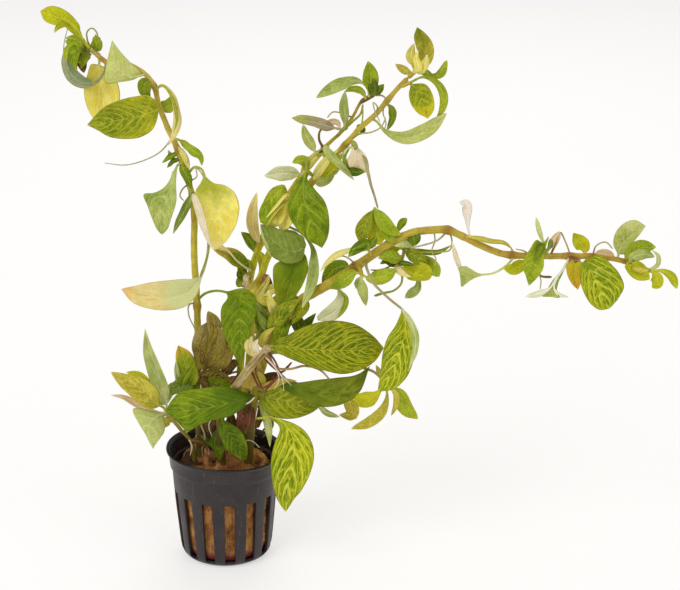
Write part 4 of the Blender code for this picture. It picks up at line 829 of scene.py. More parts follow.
# %% Stems
STEMS = {
    "stem_left": Stem(foot=(-11.5, 2), seen=((198, 400, 3), (198, 350, 3), (197, 305, 4), (194, 250, 5),
        (194, 215, 6), (192, 195, 7), (184, 170, 9), (177, 148, 11), (166, 124, 13), (158, 102, 15),
        (155, 88, 16), (147, 76, 17), (130, 65, 19), (106, 62, 21), (97, 55, 22), (90, 49, 22)),
        girth=(3.6, 3.3, 3, 2.6, 1.8), joints=((197, 305), (194, 197), (178, 150), (156, 87), (103, 60)),
        leaflets=(
        Blade(((151, 80), (145, 84, -4), (145, 91, -6), (150, 99, -6)), 6.6, "netted", (20, -20),
            age=(-0.3, -0.3)),
        Blade(((159, 112), (164, 109, 3), (169, 104, 4), (171, 96, 4)), 7, "lime"),
        Blade(((176, 146), (182, 152, -3), (187, 162, -5), (189, 171, -5)), 3, "yellow", (10, 0)),
        Blade(((173, 137), (181, 141, -3), (192, 149, -6), (201, 157, -8), (202, 166, -9)), 4.8, "lime",
            (40, 10), 26, 0.45, 0.2),
        Blade(((178, 152), (172, 156, -3), (162, 163, -5)), 2.8, "fresh", (20, 30)),
        Blade(((178, 153), (171, 156, 1), (168, 150, 1)), 2.6, "lime", (10, 30)),
        Blade(((180, 158), (174, 161, -3), (167, 168, -4)), 2.6, "deep", (20, 30)),
        Blade(((196, 186), (191, 197, -5), (184, 212, -8), (177, 225, -9), (173, 234, -9)), 4, "dull",
            (30, 0), 20),
        Blade(((180, 160), (183, 168, -3), (188, 178, -5), (191, 189, -5)), 4.4, "fresh", (10, 10), 16),
        Blade(((198, 381), (207, 378, -4), (218, 376, -5), (232, 381, -5)), 9, "withered", (10, 30)),
        Blade(((198, 387), (190, 383, -5), (180, 386, -7), (170, 395, -7)), 8, "dull", (0, 20)),
        Blade(((198, 392), (207, 388, -5), (219, 385, -6), (235, 390, -6)), 8, "deep", (20, 0)),
        Blade(((198, 395), (190, 392, -6), (183, 399, -8)), 5, "fresh", (10, 0)),
        Blade(((198, 375), (203, 381, -6), (210, 391, -8)), 4, "brown", (10, 0)),
        Blade(((199, 418), (207, 424, -3), (213, 436, -4), (211, 447, -4)), 6, "brown", (20, 0)),
        Blade(((199, 428), (208, 434, 1), (219, 436, 2), (229, 442, 2)), 5, "brown", (0, 30)),
        Blade(((199, 432), (206, 441, -3), (216, 444, -4), (223, 452, -5)), 4.4, "deep", (10, 30)),
    ), threads=(
        Thread(((188, 183), (182, 190, -3), (180, 196, -4), (184, 201, -4)), (0.8, 0.6)),
        Thread(((184, 168), (188, 160, -4), (186, 154, -6), (190, 165, -7)), (0.6, 0.5)),
        Thread(((190, 182), (197, 176, -4), (196, 168, -6), (202, 174, -7), (205, 184, -8)), (0.6, 0.5)),
        Thread(((197, 303), (189, 305, -3), (189, 316, -4), (193, 325, -4), (196, 331, -3)), (0.8, 0.5)),
        Thread(((200, 420), (205, 438, -4), (202, 450, -5), (203, 458, -5)), (0.9, 0.5), "root"),
        Thread(((198, 431), (194, 441, -3), (190, 449, -4)), (0.7, 0.4), "root"),
        Thread(((198, 372), (201, 384, -6), (200, 394, -8)), (0.8, 0.5), "root"),
        Thread(((199, 405), (210, 392, -4), (222, 378, -5), (233, 364, -5)), (2, 1.5), "twig_brown"),
        Thread(((199, 402), (216, 399, 2), (228, 388, 3), (240, 372, 3)), (1.6, 1.2), "twig_brown"),
        Thread(((199, 410), (207, 404, -4), (220, 395, -5), (231, 391, -5)), (1.4, 1)),
        Thread(((199, 436), (207, 428, -2), (217, 426, -2), (226, 431, -2)), (1.2, 0.7), "twig_brown"),
        Thread(((199, 440), (209, 452, -3), (206, 460, -4)), (0.5, 0.3), "root"),
    )),
    "stem_low_left": Stem(foot=(-14, -6), seen=((190, 440, -7), (182, 431, -8), (172, 419, -9),
        (164, 408, -10)), girth=(1.9, 1.6), leaflets=(
        Blade(((168, 413), (150, 411, 4), (135, 403, 5), (123, 397, 4), (110, 395, 3)), 3.6, "pink", (0, 0),
            22),
        Blade(((176, 424), (171, 420, 1), (165, 424, 2), (160, 428, 2)), 4.4, "olive", (10, 20)),
        Blade(((185, 434), (188, 428, 0), (184, 421, 1), (177, 418, 1)), 4, "dull", (10, 20)),
        Blade(((190, 440), (199, 441, -1), (207, 447, -1)), 4, "brown", (10, 20)),
    ), threads=(
        Thread(((189, 437), (192, 447, -2), (190, 456, -3)), (0.9, 0.5), "root"),
    )),
    "stem_middle": Stem(foot=(2.5, 8), seen=((246, 400, 9), (250, 350, 10), (254, 305, 11), (260, 280, 12),
        (270, 252, 12), (285, 228, 12), (298, 205, 12), (312, 182, 11), (330, 160, 10), (345, 145, 9),
        (361, 127, 7), (375, 115, 5), (387, 101, 3), (399, 87, 1), (408, 78, 0)),
        girth=(3.7, 3.7, 3.6, 3.4, 3.2, 2.7, 2.4, 2.1), joints=((247, 278), (312, 182), (345, 145),
        (387, 101)), look="stem_yellow", leaflets=(
        Blade(((386, 103), (392, 108, 3), (393, 116, 4), (387, 131, 4)), 3.8, "fresh", (30, 10)),
        Blade(((312, 182), (318, 172, -4), (327, 160, -6), (338, 150, -6)), 4.6, "yellow", (10, 0),
            slant=1.6),
        Blade(((316, 178), (326, 172, -3), (335, 163, -4), (344, 152, -4)), 4.2, "bright", (10, 0),
            slant=1.6),
        Blade(((262, 275), (266, 279, -4), (268, 288, -5), (264, 298, -5)), 5, "russet", (10, 0)),
        Blade(((258, 288), (265, 291, -5), (274, 289, -6), (284, 294, -6)), 5.6, "yellow", (10, 10),
            age=(0.4, 0.1)),
        Blade(((257, 293), (263, 300, -5), (271, 303, -6), (281, 308, -7)), 5, "olive", (10, 10)),
        Blade(((255, 302), (260, 307, -4), (263, 316, -6), (268, 329, -6)), 5, "dull", (10, 10)),
        Blade(((256, 298), (262, 290, -5), (267, 282, -6), (269, 274, -6)), 3.6, "yellow", (10, 10)),
        Blade(((254, 310), (262, 315, -2), (270, 323, -3), (277, 334, -4)), 6, "fresh", (10, 10)),
        Blade(((323, 168), (329, 171, 3), (334, 171, 4), (340, 168, 4)), 4.6, "pale", (10, 10)),
        Blade(((313, 181), (319, 182, 3), (327, 177, 5), (336, 168, 5)), 6, "pale", (10, 10)),
        Blade(((356, 131), (359, 127, 2), (363, 130, 3), (360, 135, 3)), 3, "deep", (10, 10)),
    ), threads=(
        Thread(((348, 141), (360, 134, -2), (372, 132, -2), (381, 127, -2), (386, 118, -2)), (0.8, 0.6)),
        Thread(((376, 114), (377, 106, -2), (373, 102, -2), (374, 108, -3), (380, 122, -3))),
        Thread(((345, 145), (343, 153, -3), (345, 163, -3)), (0.6, 0.5)),
        Thread(((385, 103), (383, 112, -2), (386, 124, -2), (384, 131, -2))),
        Thread(((350, 141), (357, 135, -2), (362, 122, -2), (363, 108, -2)), (0.9, 0.6), "twig"),
        Thread(((247, 390), (256, 400, -5), (262, 412, -6), (258, 428, -6)), (1.6, 1.2), "twig_brown"),
        Thread(((247, 380), (259, 390, -4), (269, 405, -5), (264, 420, -5)), (1.3, 0.9), "twig_brown"),
    )),
    "stem_back": Stem(foot=(7.5, 14), seen=((240, 390, 17), (243, 330, 19), (248, 290, 20), (254, 262, 21),
        (263, 238, 22), (276, 214, 23), (290, 192, 23), (305, 170, 23), (325, 147, 22), (343, 130, 21),
        (352, 118, 20), (364, 99, 18), (373, 94, 17)), girth=(3.7, 3.6, 3.5, 3.4, 3.1, 2.3, 1.7, 1.2),
        joints=((262, 240), (305, 170), (345, 128), (363, 100)), look="stem_yellow", leaflets=(
        Blade(((256, 256), (253, 246, 4), (248, 238, 6), (241, 232, 6)), 5, "fresh", (10, 0), 14, 0.5),
        Blade(((300, 178), (307, 166, -3), (316, 156, -5), (330, 146, -5)), 4.6, "yellow", (10, 0),
            slant=1.6),
        Blade(((243, 345), (249, 344, -4), (256, 336, -5)), 4.4, "cream", (0, 0), 6),
        Blade(((250, 281), (246, 278, -4), (245, 271, -5)), 4.4, "russet", (0, 0), 6),
        Blade(((249, 287), (246, 285, -5), (248, 277, -6)), 4, "cream", (0, 0), 6),
        Blade(((246, 300), (250, 292, -5), (257, 284, -6), (262, 272, -6)), 5.6, "yellow"),
        Blade(((247, 296), (252, 302, -5), (259, 301, -6), (266, 308, -6)), 5.6, "olive"),
        Blade(((258, 250), (262, 258, -4), (263, 268, -5), (259, 277, -5)), 4.4, "bright", (0, 10)),
        Blade(((243, 325), (250, 324, -4), (258, 331, -5), (266, 340, -5)), 4, "olive", age=(0.2, 0.6)),
        Blade(((241, 360), (233, 364, -4), (225, 372, -5), (215, 376, -5)), 5, "brown", (0, 10)),
        Blade(((240, 378), (231, 381, -4), (222, 384, -5)), 4.4, "russet", (0, 10)),
    ), threads=(
        Thread(((242, 350), (233, 368, -3), (222, 380, -4), (212, 390, -4)), (1.5, 1.1), "twig"),
        Thread(((241, 370), (229, 374, -3), (214, 383, -4), (205, 388, -4)), (1.2, 0.8)),
        Thread(((352, 118), (341, 113, -2), (333, 112, -2), (327, 118, -2)), (0.8, 0.6)),
    )),
    "stem_right": Stem(foot=(10.5, -1), seen=((254, 400, -3), (262, 365, -4), (278, 330, -5),
        (300, 301, -6), (320, 289, -7), (348, 272, -8), (375, 253, -10), (395, 240, -11), (415, 232, -12),
        (432, 230, -13), (448, 230, -14), (460, 235, -15), (480, 245, -16), (500, 253, -17),
        (530, 256, -18), (568, 256, -19), (600, 257, -20), (627, 262, -21), (641, 267, -22),
        (652, 272, -22)), girth=(4.4, 4.4, 4.5, 4.4, 3.6, 3.1, 2.8, 1.8), joints=((356, 267), (449, 229),
        (512, 254), (570, 257), (592, 256), (625, 262)), look="stem_tan", leaflets=(
        Blade(((412, 232), (414, 238, -2), (415, 246, -3)), 6.4, "deep", (0, 10), 12, 0.4, 0.1),
        Blade(((462, 236), (478, 238, -4), (492, 241, -5), (505, 243, -5), (514, 251, -4)), 2.4, "olive",
            (10, 20)),
        Blade(((528, 256), (522, 264, -4), (513, 269, -6), (503, 268, -7)), 6, "bright", (10, 0), 14, 0.5,
            0.16),
        Blade(((546, 256), (550, 246, -2), (555, 237, -2), (560, 231, -2)), 2.6, "pink", (10, 10), 12, 0.6),
        Blade(((551, 256), (554, 247, 1), (557, 240, 1), (561, 232, 1)), 2, "cream", (10, 10), 12, 0.6),
        Blade(((592, 257), (598, 253, 2), (607, 254, 3), (616, 260, 4)), 4, "pink", (0, 0), 12, 0.5),
        Blade(((586, 256), (584, 248, 3), (579, 241, 4), (573, 233, 4)), 7, "bright", (10, 0), 16, 0.45,
            age=(0.5, -0.3)),
        Blade(((296, 306), (297, 320, 5), (302, 329, 6), (309, 321, 7), (316, 313, 8)), 6.5, "deep",
            (10, 10)),
        Blade(((471, 240), (468, 228, 3), (467, 213, 5), (466, 204, 5), (459, 202, 5)), 4.6, "white",
            (20, 0), 18, 0.7),
        Blade(((254, 404), (261, 405, -3), (267, 420, -5), (270, 447, -5)), 4.2, "pale", (20, 0), 20, 0.4),
        Blade(((352, 269), (344, 266, 4), (336, 268, 5), (328, 275, 6), (322, 284, 6)), 7, "fresh", (10, 0),
            14),
        Blade(((565, 257), (572, 260, -3), (581, 260, -3)), 3, "russet", (0, 0), 12, 0.5),
        Blade(((276, 334), (273, 326, -5), (281, 314, -7), (299, 299, -7)), 8, "netted", (10, 0), 20, 0.5,
            0.1),
        Blade(((290, 313), (285, 322, -5), (280, 335, -6), (274, 348, -6)), 7, "fresh", (10, 0), 16, 0.5,
            0.1),
        Blade(((283, 322), (276, 313, -4), (271, 303, -6), (268, 290, -6)), 5, "yellow", (10, 0), 16,
            age=(0.5, 0.2)),
        Blade(((300, 302), (293, 300, -4), (287, 305, -6), (281, 318, -7)), 5, "fresh", (10, 0), 16),
        Blade(((278, 331), (270, 329, -3), (263, 322, -5), (257, 310, -5)), 4.6, "dull", (10, 0), 16),
        Blade(((268, 350), (262, 342, -4), (266, 334, -6), (275, 327, -7)), 4, "olive", (10, 0), 16,
            age=(0, 0.6)),
        Blade(((306, 297), (305, 305, -4), (299, 313, -6), (292, 324, -6)), 5.6, "veined", (10, 0), 16),
        Blade(((258, 385), (268, 378, -4), (279, 377, -6), (289, 383, -6)), 5, "brown", (10, 0), 16),
        Blade(((256, 393), (262, 401, -2), (261, 414, -3), (255, 430, -3)), 4, "brown", (10, 0), 16),
        Blade(((254, 402), (247, 404, -4), (243, 415, -6), (236, 430, -6)), 6.4, "rust", (-10, -10), 24),
        Blade(((254, 404), (251, 412, -4), (249, 423, -5), (245, 434, -5)), 4.6, "rust", (-10, -10), 24),
    ), threads=(
        Thread(((592, 254), (597, 245, -2), (605, 242, -3), (613, 249, -2)), (0.8, 0.6)),
        Thread(((551, 256), (556, 243, -1), (560, 232, -1), (566, 243, -1), (570, 254, -1)), (0.8, 0.7),
            "stem_dry"),
        Thread(((513, 255), (511, 248, -1), (505, 243, -1)), (0.7, 0.6)),
        Thread(((530, 256), (524, 251, -2), (515, 249, -2)), (0.8, 0.6)),
        Thread(((352, 268), (352, 261, -3), (343, 256, -3), (328, 264, -3)), (0.8, 0.6), "stem_dry"),
        Thread(((448, 231), (438, 240, -2), (424, 245, -3), (410, 248, -3)), (0.9, 0.7)),
        Thread(((449, 231), (452, 241, -2), (450, 250, -3), (440, 252, -3), (420, 252, -3)), (0.8, 0.6),
            "twig"),
        Thread(((433, 231), (435, 240, -2), (432, 252, -2), (436, 259, -2), (434, 266, -2))),
        Thread(((528, 257), (534, 266, -1), (541, 276, -1), (552, 277, -1)), (0.8, 1.2), "twig_brown"),
        Thread(((540, 257), (538, 270, -1), (541, 281, -1), (540, 290, -1))),
        Thread(((255, 396), (266, 404, -3), (272, 418, -4), (262, 432, -5)), (1.4, 1), "twig_brown"),
        Thread(((254, 404), (263, 409, 2), (273, 425, 3), (262, 438, 2)), (1.2, 0.9), "twig"),
        Thread(((254, 400), (244, 408, -3), (240, 421, -4), (247, 436, -4)), (1.2, 0.9), "twig_brown"),
    )),
    "dry_stem": Stem(foot=(-1, -7), seen=((226, 400, -10), (238, 383, -12), (250, 367, -14),
        (262, 354, -15), (270, 346, -16)), girth=(3.6, 3.8), look="stem_dry", leaflets=(
        Blade(((230, 395), (242, 401, 1), (243, 413, 2), (239, 428, 2)), 6, "brown", (10, 0), 16, 0.5),
        Blade(((238, 383), (245, 384, 3), (253, 375, 3), (258, 360, 3)), 8.6, "olive", (10, 10), 14, 0.5,
            age=(0.5, 0.9)),
        Blade(((258, 359), (252, 353, 2), (249, 345, 2), (252, 336, 2)), 5, "tan", (10, 10), 14, 0.5),
        Blade(((260, 356), (257, 351, -1), (255, 345, -1), (258, 339, -1)), 3, "cream", (10, 10), 14, 0.5),
        Blade(((226, 402), (221, 412, 2), (214, 421, 3), (207, 432, 3)), 5, "brown", (10, 10), 14, 0.5),
        Blade(((226, 407), (231, 418, 2), (228, 430, 2), (221, 441, 2)), 5, "brown", (0, 0), 14, 0.5),
        Blade(((227, 420), (220, 432, 1), (214, 443, 0), (218, 452, -1)), 5, "deep", (10, 10), 14, 0.5),
        Blade(((229, 432), (222, 443, -1), (219, 452, -2), (220, 461, -2)), 5.4, "deep", (10, 10), 14, 0.5),
        Blade(((248, 369), (256, 373, 2), (262, 381, 3), (262, 391, 3)), 4.6, "olive", (10, 10), 14, 0.5),
    ), threads=(
        Thread(((262, 354), (272, 366, -1), (281, 372, -2), (292, 362, -2)), (1.2, 0.9), "root_red"),
        Thread(((250, 368), (262, 388, -1), (278, 376, -2), (290, 364, -2)), (1.1, 0.8), "root_red"),
        Thread(((262, 354), (276, 368, -3), (282, 378, -4), (284, 392, -4)), (0.6, 0.3), "root"),
        Thread(((262, 354), (274, 366, -3), (279, 380, -4), (274, 390, -4)), (0.6, 0.3), "root"),
        Thread(((262, 354), (277, 370, -3), (285, 379, -4), (292, 386, -4)), (0.5, 0.3), "root"),
        Thread(((266, 349), (276, 363, -2), (279, 372, -2), (265, 391, -2)), (1, 0.8), "root_red"),
        Thread(((266, 349), (277, 368, -2), (290, 369, -3), (304, 366, -3), (320, 370, -3), (330, 380, -2)),
            (1.2, 0.9), "stem_dry"),
        Thread(((268, 347), (258, 362, -2), (246, 377, -2), (236, 388, -1)), (1.4, 1.2), "stem_dry"),
        Thread(((258, 358), (256, 372, 1), (262, 388, 1), (266, 402, 1)), (1, 0.7), "twig_brown"),
        Thread(((228, 398), (238, 404, -3), (248, 403, -4), (255, 397, -4)), (0.9, 0.7), "root"),
        Thread(((226, 404), (216, 414, -2), (209, 424, -3), (212, 437, -3)), (0.7, 0.4), "root"),
        Thread(((228, 425), (238, 431, -2), (249, 430, -2), (257, 437, -2)), (0.9, 0.5), "twig_brown"),
        Thread(((228, 430), (240, 440, -2), (252, 441, -2), (260, 448, -3)), (0.6, 0.4), "root"),
    )),
}

# %% Leaves
LEAVES = {
    # Left stem, from its tip down
    "leaf_left_tip": Leaf("stem_left", "yellow", (
        Blade(((83, 40), (78, 31, -2), (69, 21, -4), (57, 17, -6), (40, 11, -7)), 9.6, "bright", (0, 0), 8,
            0.5, 0.16, margins=(((80, 27), (75, 19), (69, 13), (61, 8), (50, 6)), ((78, 35), (71, 26),
            (62, 21), (57, 25), (51, 24), (45, 21)))),
        Blade(((71, 22), (64, 23, -2), (58, 27, -3), (54, 33, -3)), 4.4, "bright", (-20, 0), 10, 0.4, 0.0),
    ), twig=((90, 49), (86, 44, 0), (82, 38, -1)), girth=(1.6, 1.3), bark="stem_yellow"),
    "bud_left_tip": Leaf("stem_left", "deep", (
        Blade(((93, 51), (96, 44, 1), (95, 34, 2)), 5, "lime", (30, 60), 10, curl=30),
        Blade(((90, 51), (79, 45, 1), (65, 41, 2)), 7, "lime", (-20, 10), 10),
        Blade(((88, 51), (79, 57, -8), (67, 60, -9)), 7.4, "netted", (10, 30), 12),
        Blade(((84, 51), (82, 62, -7), (84, 73, -8)), 6, "brown", (40, 10), 10, age=(0, 0.3)),
        Blade(((86, 51), (76, 47, -8), (68, 51, -9), (66, 61, -9)), 6, "lime", (10, 30), 12, age=(-0.3, 0)),
        Blade(((86, 50), (79, 43, -6), (73, 39, -6), (65, 38, -6)), 5, "lime", (10, 30), 12,
            age=(-0.4, 0.3)),
        Blade(((88, 51), (84, 58, -9), (81, 69, -10)), 6, "mossy", (10, 30), 12),
        Blade(((86, 51), (75, 52, -10), (74, 61, -11), (77, 71, -11)), 6, "fresh", (10, 30), 12),
        Blade(((93, 53), (96, 47, -1), (94, 36, -1)), 6, "lime", (10, 30), 12, age=(-0.5, 0)),
    ), twig=((99, 57), (98, 54, 4), (92, 51, 5), (84, 51, 4)), girth=(1.8, 1.4), threads=(
        Thread(((92, 51), (87, 38, 0), (87, 32, 0), (92, 28, 0), (97, 33, 0), (97, 42, 0), (94, 50, 0)),
            (0.8, 0.7)),
    )),
    "leaf_left_cupped": Leaf("stem_left", "pale", (
        Blade(((105, 62), (104, 72, 0), (95, 82, 0), (84, 83, 1), (73, 76, 2), (67, 64, 3), (66, 46, 3)),
            6.6, "slate", (165, 190), 14, 0.38, 0.34, curl=10),
    ), threads=(
        Thread(((105, 62), (104, 73, -1), (94, 85, -1), (80, 86, -1), (68, 75, 0), (64, 60, 0), (64, 44, 0),
            (68, 27, 0)), (0.7, 0.35)),
    )),
    "leaf_left_pale": Leaf("stem_left", "pale", (
        Blade(((145, 74), (131, 77, -4), (117, 67, -6), (112, 40, -6)), 16, "pale", (185, 185), 8, 0.5,
            0.08, margins=(((135, 79), (121, 82), (106, 83), (107, 62)), ((138, 70), (128, 60),
            (119, 50)))),
    )),
    "leaf_left_yellow": Leaf("stem_left", "yellow", (
        Blade(((99, 57), (99, 76, 3), (103, 100, 5), (102, 126, 4)), 16, "straw", (-5, 5), 14, 0.5, veins=4,
            slant=1.6, age=(0.1, 0.1), margins=(((92, 64), (87, 76), (84, 90), (86, 104), (93, 118)),
            ((110, 70), (118, 84), (120, 98), (114, 116)))),
    )),
    "leaf_left_veined": Leaf("stem_left", "green", (
        Blade(((158, 103), (158, 109, -5), (150, 112, -7), (136, 117, -9), (118, 120, -11), (102, 124, -13),
            (87, 125, -12)), 20.5, "netted", (-10, 10), 12, 0.4, 0.05, curl=6, veins=8, slant=0.5,
            age=(0.5, 0), margins=(((154, 99), (147, 95), (138, 96), (120, 100), (103, 108), (94, 117)),
            ((157, 119), (153, 129), (141, 137), (125, 139), (110, 137), (97, 130)))),
    )),
    "leaf_left_long": Leaf("stem_left", "olive", (
        Blade(((156, 88), (163, 85, -3), (172, 94, -5), (177, 109, -6), (178, 122, -8), (174, 136, -10),
            (168, 146, -11)), 4.2, "tan", (20, 20), 24, 0.6, 0.08, age=(-0.6, 0.5)),
        Blade(((156, 88), (163, 86, -4), (171, 95, -7), (176, 110, -9), (177, 122, -11), (173, 133, -13)),
            1.6, "netted", (20, 20), 24, 0.5, 0.2),
    ), threads=(
        Thread(((156, 88), (163, 85, -2), (172, 94, -3), (177, 110, -4), (177, 124, -6), (172, 137, -9),
            (160, 152, -11), (145, 160, -12), (126, 165, -12), (104, 163, -10)), (0.9, 0.8, 0.6, 0.4)),
    )),
    "leaf_left_hanging": Leaf("stem_left", "green", (
        Blade(((180, 163), (175, 168, -5), (170, 185, -9), (164, 206, -11), (162, 235, -10)), 16, "soft",
            (8, -10), 20, 0.36, 0.1, 0.3, veins=5, margins=(((170, 180), (162, 189), (153, 193), (144, 194),
            (148, 207), (153, 221), (158, 231)), ((176, 180), (176, 203), (171, 219), (167, 230)))),
    )),
    "leaf_left_round": Leaf("stem_left", "yellow", (
        Blade(((186, 176), (196, 167, -4), (202, 170, -7), (206, 182, -9), (216, 203, -12), (221, 226, -13),
            (215, 250, -11)), 18.5, "straw", (10, -8), 8, 0.45, 0.3, curl=14, veins=6, slant=0.55,
            age=(-0.9, 0.6), margins=(((200, 184), (196, 190), (197, 203), (202, 218), (207, 232),
            (211, 245)), ((214, 183), (224, 185), (234, 192), (239, 204), (238, 219), (231, 234),
            (222, 246)))),
        Blade(((198, 193), (197, 203, -15), (202, 219, -16), (207, 236, -16), (213, 250, -14)), 4, "cream",
            (30, 10), 20),
    )),
    "leaf_left_tan": Leaf("stem_left", "tan", (
        Blade(((194, 203), (203, 211, -4), (209, 234, -6), (207, 258, -7), (199, 280, -9), (184, 293, -11),
            (163, 297, -13), (140, 295, -14), (121, 289, -13)), 14.5, "tan", (14, 8), 14, 0.42, 0.48,
            veins=4, slant=1.2, age=(-1.6, 0.8), margins=(((196, 278), (180, 279), (163, 281), (148, 283),
            (134, 286)), ((196, 296), (188, 305), (170, 310), (150, 309), (132, 302)))),
    ), threads=(
        Thread(((194, 203), (203, 211, -5), (208, 234, -7), (207, 256, -8), (200, 277, -10)), (1.2, 0.9),
            "twig"),
    )),
    "leaf_left_broad": Leaf("stem_left", "deep", (
        Blade(((197, 301), (206, 293, -4), (221, 291, -9), (236, 297, -13), (240, 320, -16),
            (240, 345, -16), (240, 366, -14)), 17.5, "fresh", (6, -10), 20, 0.36, 0.34, veins=8,
            age=(-0.4, 0), margins=(((228, 296), (222, 306), (221, 322), (225, 338), (232, 352)),
            ((246, 289), (255, 296), (256, 310), (251, 328), (246, 350)))),
    )),
    "leaf_left_wrinkled": Leaf("stem_left", "brown", (
        Blade(((206, 370), (209, 360, -3), (212, 343, -4), (207, 322, -3)), 17, "withered", (10, -20), 16,
            0.45, 0.04, veins=11, slant=1.5, wave=0.8, quilt=0.5, age=(-0.2, 0.8), margins=(((198, 368),
            (193, 354), (193, 338), (199, 327)), ((224, 370), (233, 356), (231, 338), (220, 327)))),
        Blade(((205, 368), (209, 346, -5), (214, 328, -5), (208, 311, -3)), 7, "withered", (30, 20), 16,
            0.75, 0.2, age=(0, 0.6)),
        Blade(((205, 369), (222, 358, -5), (231, 346, -5), (229, 330, -5)), 7, "withered", (30, 20), 16,
            0.75, 0.2),
    ), twig=((198, 374), (203, 372, -5), (207, 366, -7)), girth=(1.8, 1.8), bark="twig_brown", threads=(
        Thread(((204, 370), (200, 352, -9), (202, 338, -9), (206, 326, -8)), (0.7, 0.5), "twig_brown"),
        Thread(((204, 370), (210, 352, -10), (216, 340, -10), (218, 328, -9)), (0.7, 0.5), "twig_brown"),
        Thread(((204, 370), (218, 360, -9), (226, 347, -9), (224, 334, -8)), (0.6, 0.4), "twig_brown"),
    )),
    # Low left shoot
    "leaf_low_upright": Leaf("stem_low_left", "pale", (
        Blade(((168, 413), (165, 395, 4), (157, 370, 6), (149, 347, 8), (145, 328, 8)), 9, "silver",
            (20, 0), 22, 0.45, 0.1, veins=5, slant=1.4, margins=(((160, 405), (148, 375), (143, 348)),
            ((169, 398), (162, 370), (153, 350)))),
    )),
    "leaf_low_olive": Leaf("stem_low_left", "olive", (
        Blade(((164, 408), (152, 400, -4), (139, 389, -7), (125, 381, -9), (111, 372, -9)), 11.5, "olive",
            (10, 0), 20, 0.4, 0.1, veins=6, slant=0.6, age=(-0.1, 0.4)),
        Blade(((164, 408), (152, 400, -3), (148, 385, -4), (140, 376, -5), (126, 372, -5)), 4, "bright",
            (10, 0), 20, 0.6, 0.3),
    )),
    "leaf_low_pale": Leaf("stem_low_left", "pale", (
        Blade(((169, 415), (158, 416, -5), (150, 424, -8), (150, 436, -9), (153, 449, -8)), 12.5, "silver",
            (185, 190), 16, 0.4, veins=5, margins=(((147, 409), (133, 409), (138, 422), (146, 436)),
            ((165, 421), (164, 432), (158, 441)))),
    )),
    "leaf_low_back": Leaf("stem_left", "yellow", (
        Blade(((189, 391), (188, 378, 0), (184, 361, 1), (178, 345, 2)), 9.4, "lime", (-10, 10), 16, 0.5,
            0.08, age=(-0.4, 0.8), margins=(((181, 385), (177, 370), (176, 353)), ((197, 383), (197, 366),
            (190, 352)))),
        Blade(((188, 391), (179, 386, 0), (170, 392, 0), (168, 403, -1)), 5.5, "silver", (10, 10), 16),
        Blade(((188, 391), (180, 383, -1), (177, 372, -1), (176, 360, -1)), 3.2, "silver", (10, 10), 16),
        Blade(((187, 391), (183, 383, -2), (187, 374, -3), (193, 366, -3)), 5, "fresh", (10, 10), 16),
    ), twig=((198, 400), (193, 394, -4), (186, 389, -5)), girth=(1.8, 1.6)),
    "leaf_low_broad": Leaf("stem_right", "green", (
        Blade(((254, 396), (245, 399, -12), (230, 403, -16), (206, 408, -18), (184, 411, -19),
            (165, 412, -17)), 20.5, "fresh", (4, -10), 14, 0.5, 0.06, curl=6, veins=8, slant=0.5,
            age=(-0.9, 0.25), margins=(((238, 389), (217, 387), (196, 389), (180, 392), (171, 401)),
            ((244, 407), (231, 416), (213, 420), (199, 425), (188, 431), (174, 419)))),
    )),
    # Middle stems, from below upwards
    "leaves_middle_low": Leaf("stem_middle", "green", (
        Blade(((258, 336), (270, 332, -2), (283, 318, -4), (297, 299, -5)), 11, "netted", (20, -10)),
        Blade(((258, 335), (264, 322, -2), (262, 315, -3), (256, 308, -3)), 6.5, "dull", (-20, 10)),
        Blade(((258, 335), (267, 318, 2), (275, 303, 3), (282, 291, 3)), 7.5, "olive", (20, 0), 14),
        Blade(((258, 335), (261, 327, -3), (258, 318, -4), (260, 309, -4)), 4, "fresh", (0, 0), 14),
    ), twig=((251, 345), (254, 341, -4), (259, 334, -5)), girth=(2.2, 2)),
    "leaf_middle_fork": Leaf("stem_right", "pale", (
        Blade(((322, 288), (339, 289, 5), (345, 296, 5), (338, 308, 0), (318, 321, -3)), 9, "ivory",
            (10, -10), 16, 0.5, 0.3, margins=(((337, 296), (329, 305), (321, 312), (317, 318)), ((346, 304),
            (343, 313), (335, 320)))),
        Blade(((322, 288), (339, 290, 4), (346, 297, 4), (345, 307, 0), (337, 319, -3)), 2.6, "lime",
            (10, 10), 24, 0.5, 0.4),
    )),
    "leaf_middle_curled": Leaf("stem_back", "green", (
        Blade(((251, 272), (243, 264, -3), (230, 256, -5), (213, 249, -5)), 8, "fresh", (10, 30), 20, 0.45,
            age=(0, 0.9)),
        Blade(((249, 275), (243, 272, 0), (238, 266, 0)), 4.5, "fresh", (10, 0), 10),
        Blade(((248, 279), (242, 281, 0), (237, 287, 0)), 5, "netted", (10, 0), 10),
        Blade(((251, 271), (238, 262, -6), (226, 250, -7), (213, 246, -7)), 3, "tan", (10, 30), 20, 0.75,
            0.5),
        Blade(((248, 277), (240, 276, -1), (237, 271, -1)), 3, "deep", (10, 0), 10),
        Blade(((249, 275), (246, 279, -4), (248, 284, -4)), 3, "pink", (10, 0), 10),
        Blade(((252, 268), (247, 262, -2), (240, 262, -2)), 3, "lime", (10, 0), 10),
    ), twig=((249, 285), (246, 281, -4), (251, 271, -6)), girth=(2.2, 1.8), bark="stem_yellow"),
    "leaf_middle_pink": Leaf("stem_back", "tan", (
        Blade(((261, 243), (256, 236, -4), (252, 222, -6), (253, 208, -6), (257, 192, -5)), 5.8, "tan",
            (10, 0), 20, 0.45, 0.08, veins=4, slant=1.2, age=(0.2, 0)),
    )),
    "leaf_middle_bright": Leaf("stem_middle", "yellow", (
        Blade(((291, 198), (281, 189, -3), (269, 202, -5), (260, 223, -5)), 11, "lime", (-10, 10), 14, 0.5,
            0.08, veins=5, margins=(((284, 185), (274, 187), (263, 202), (259, 213)), ((288, 194),
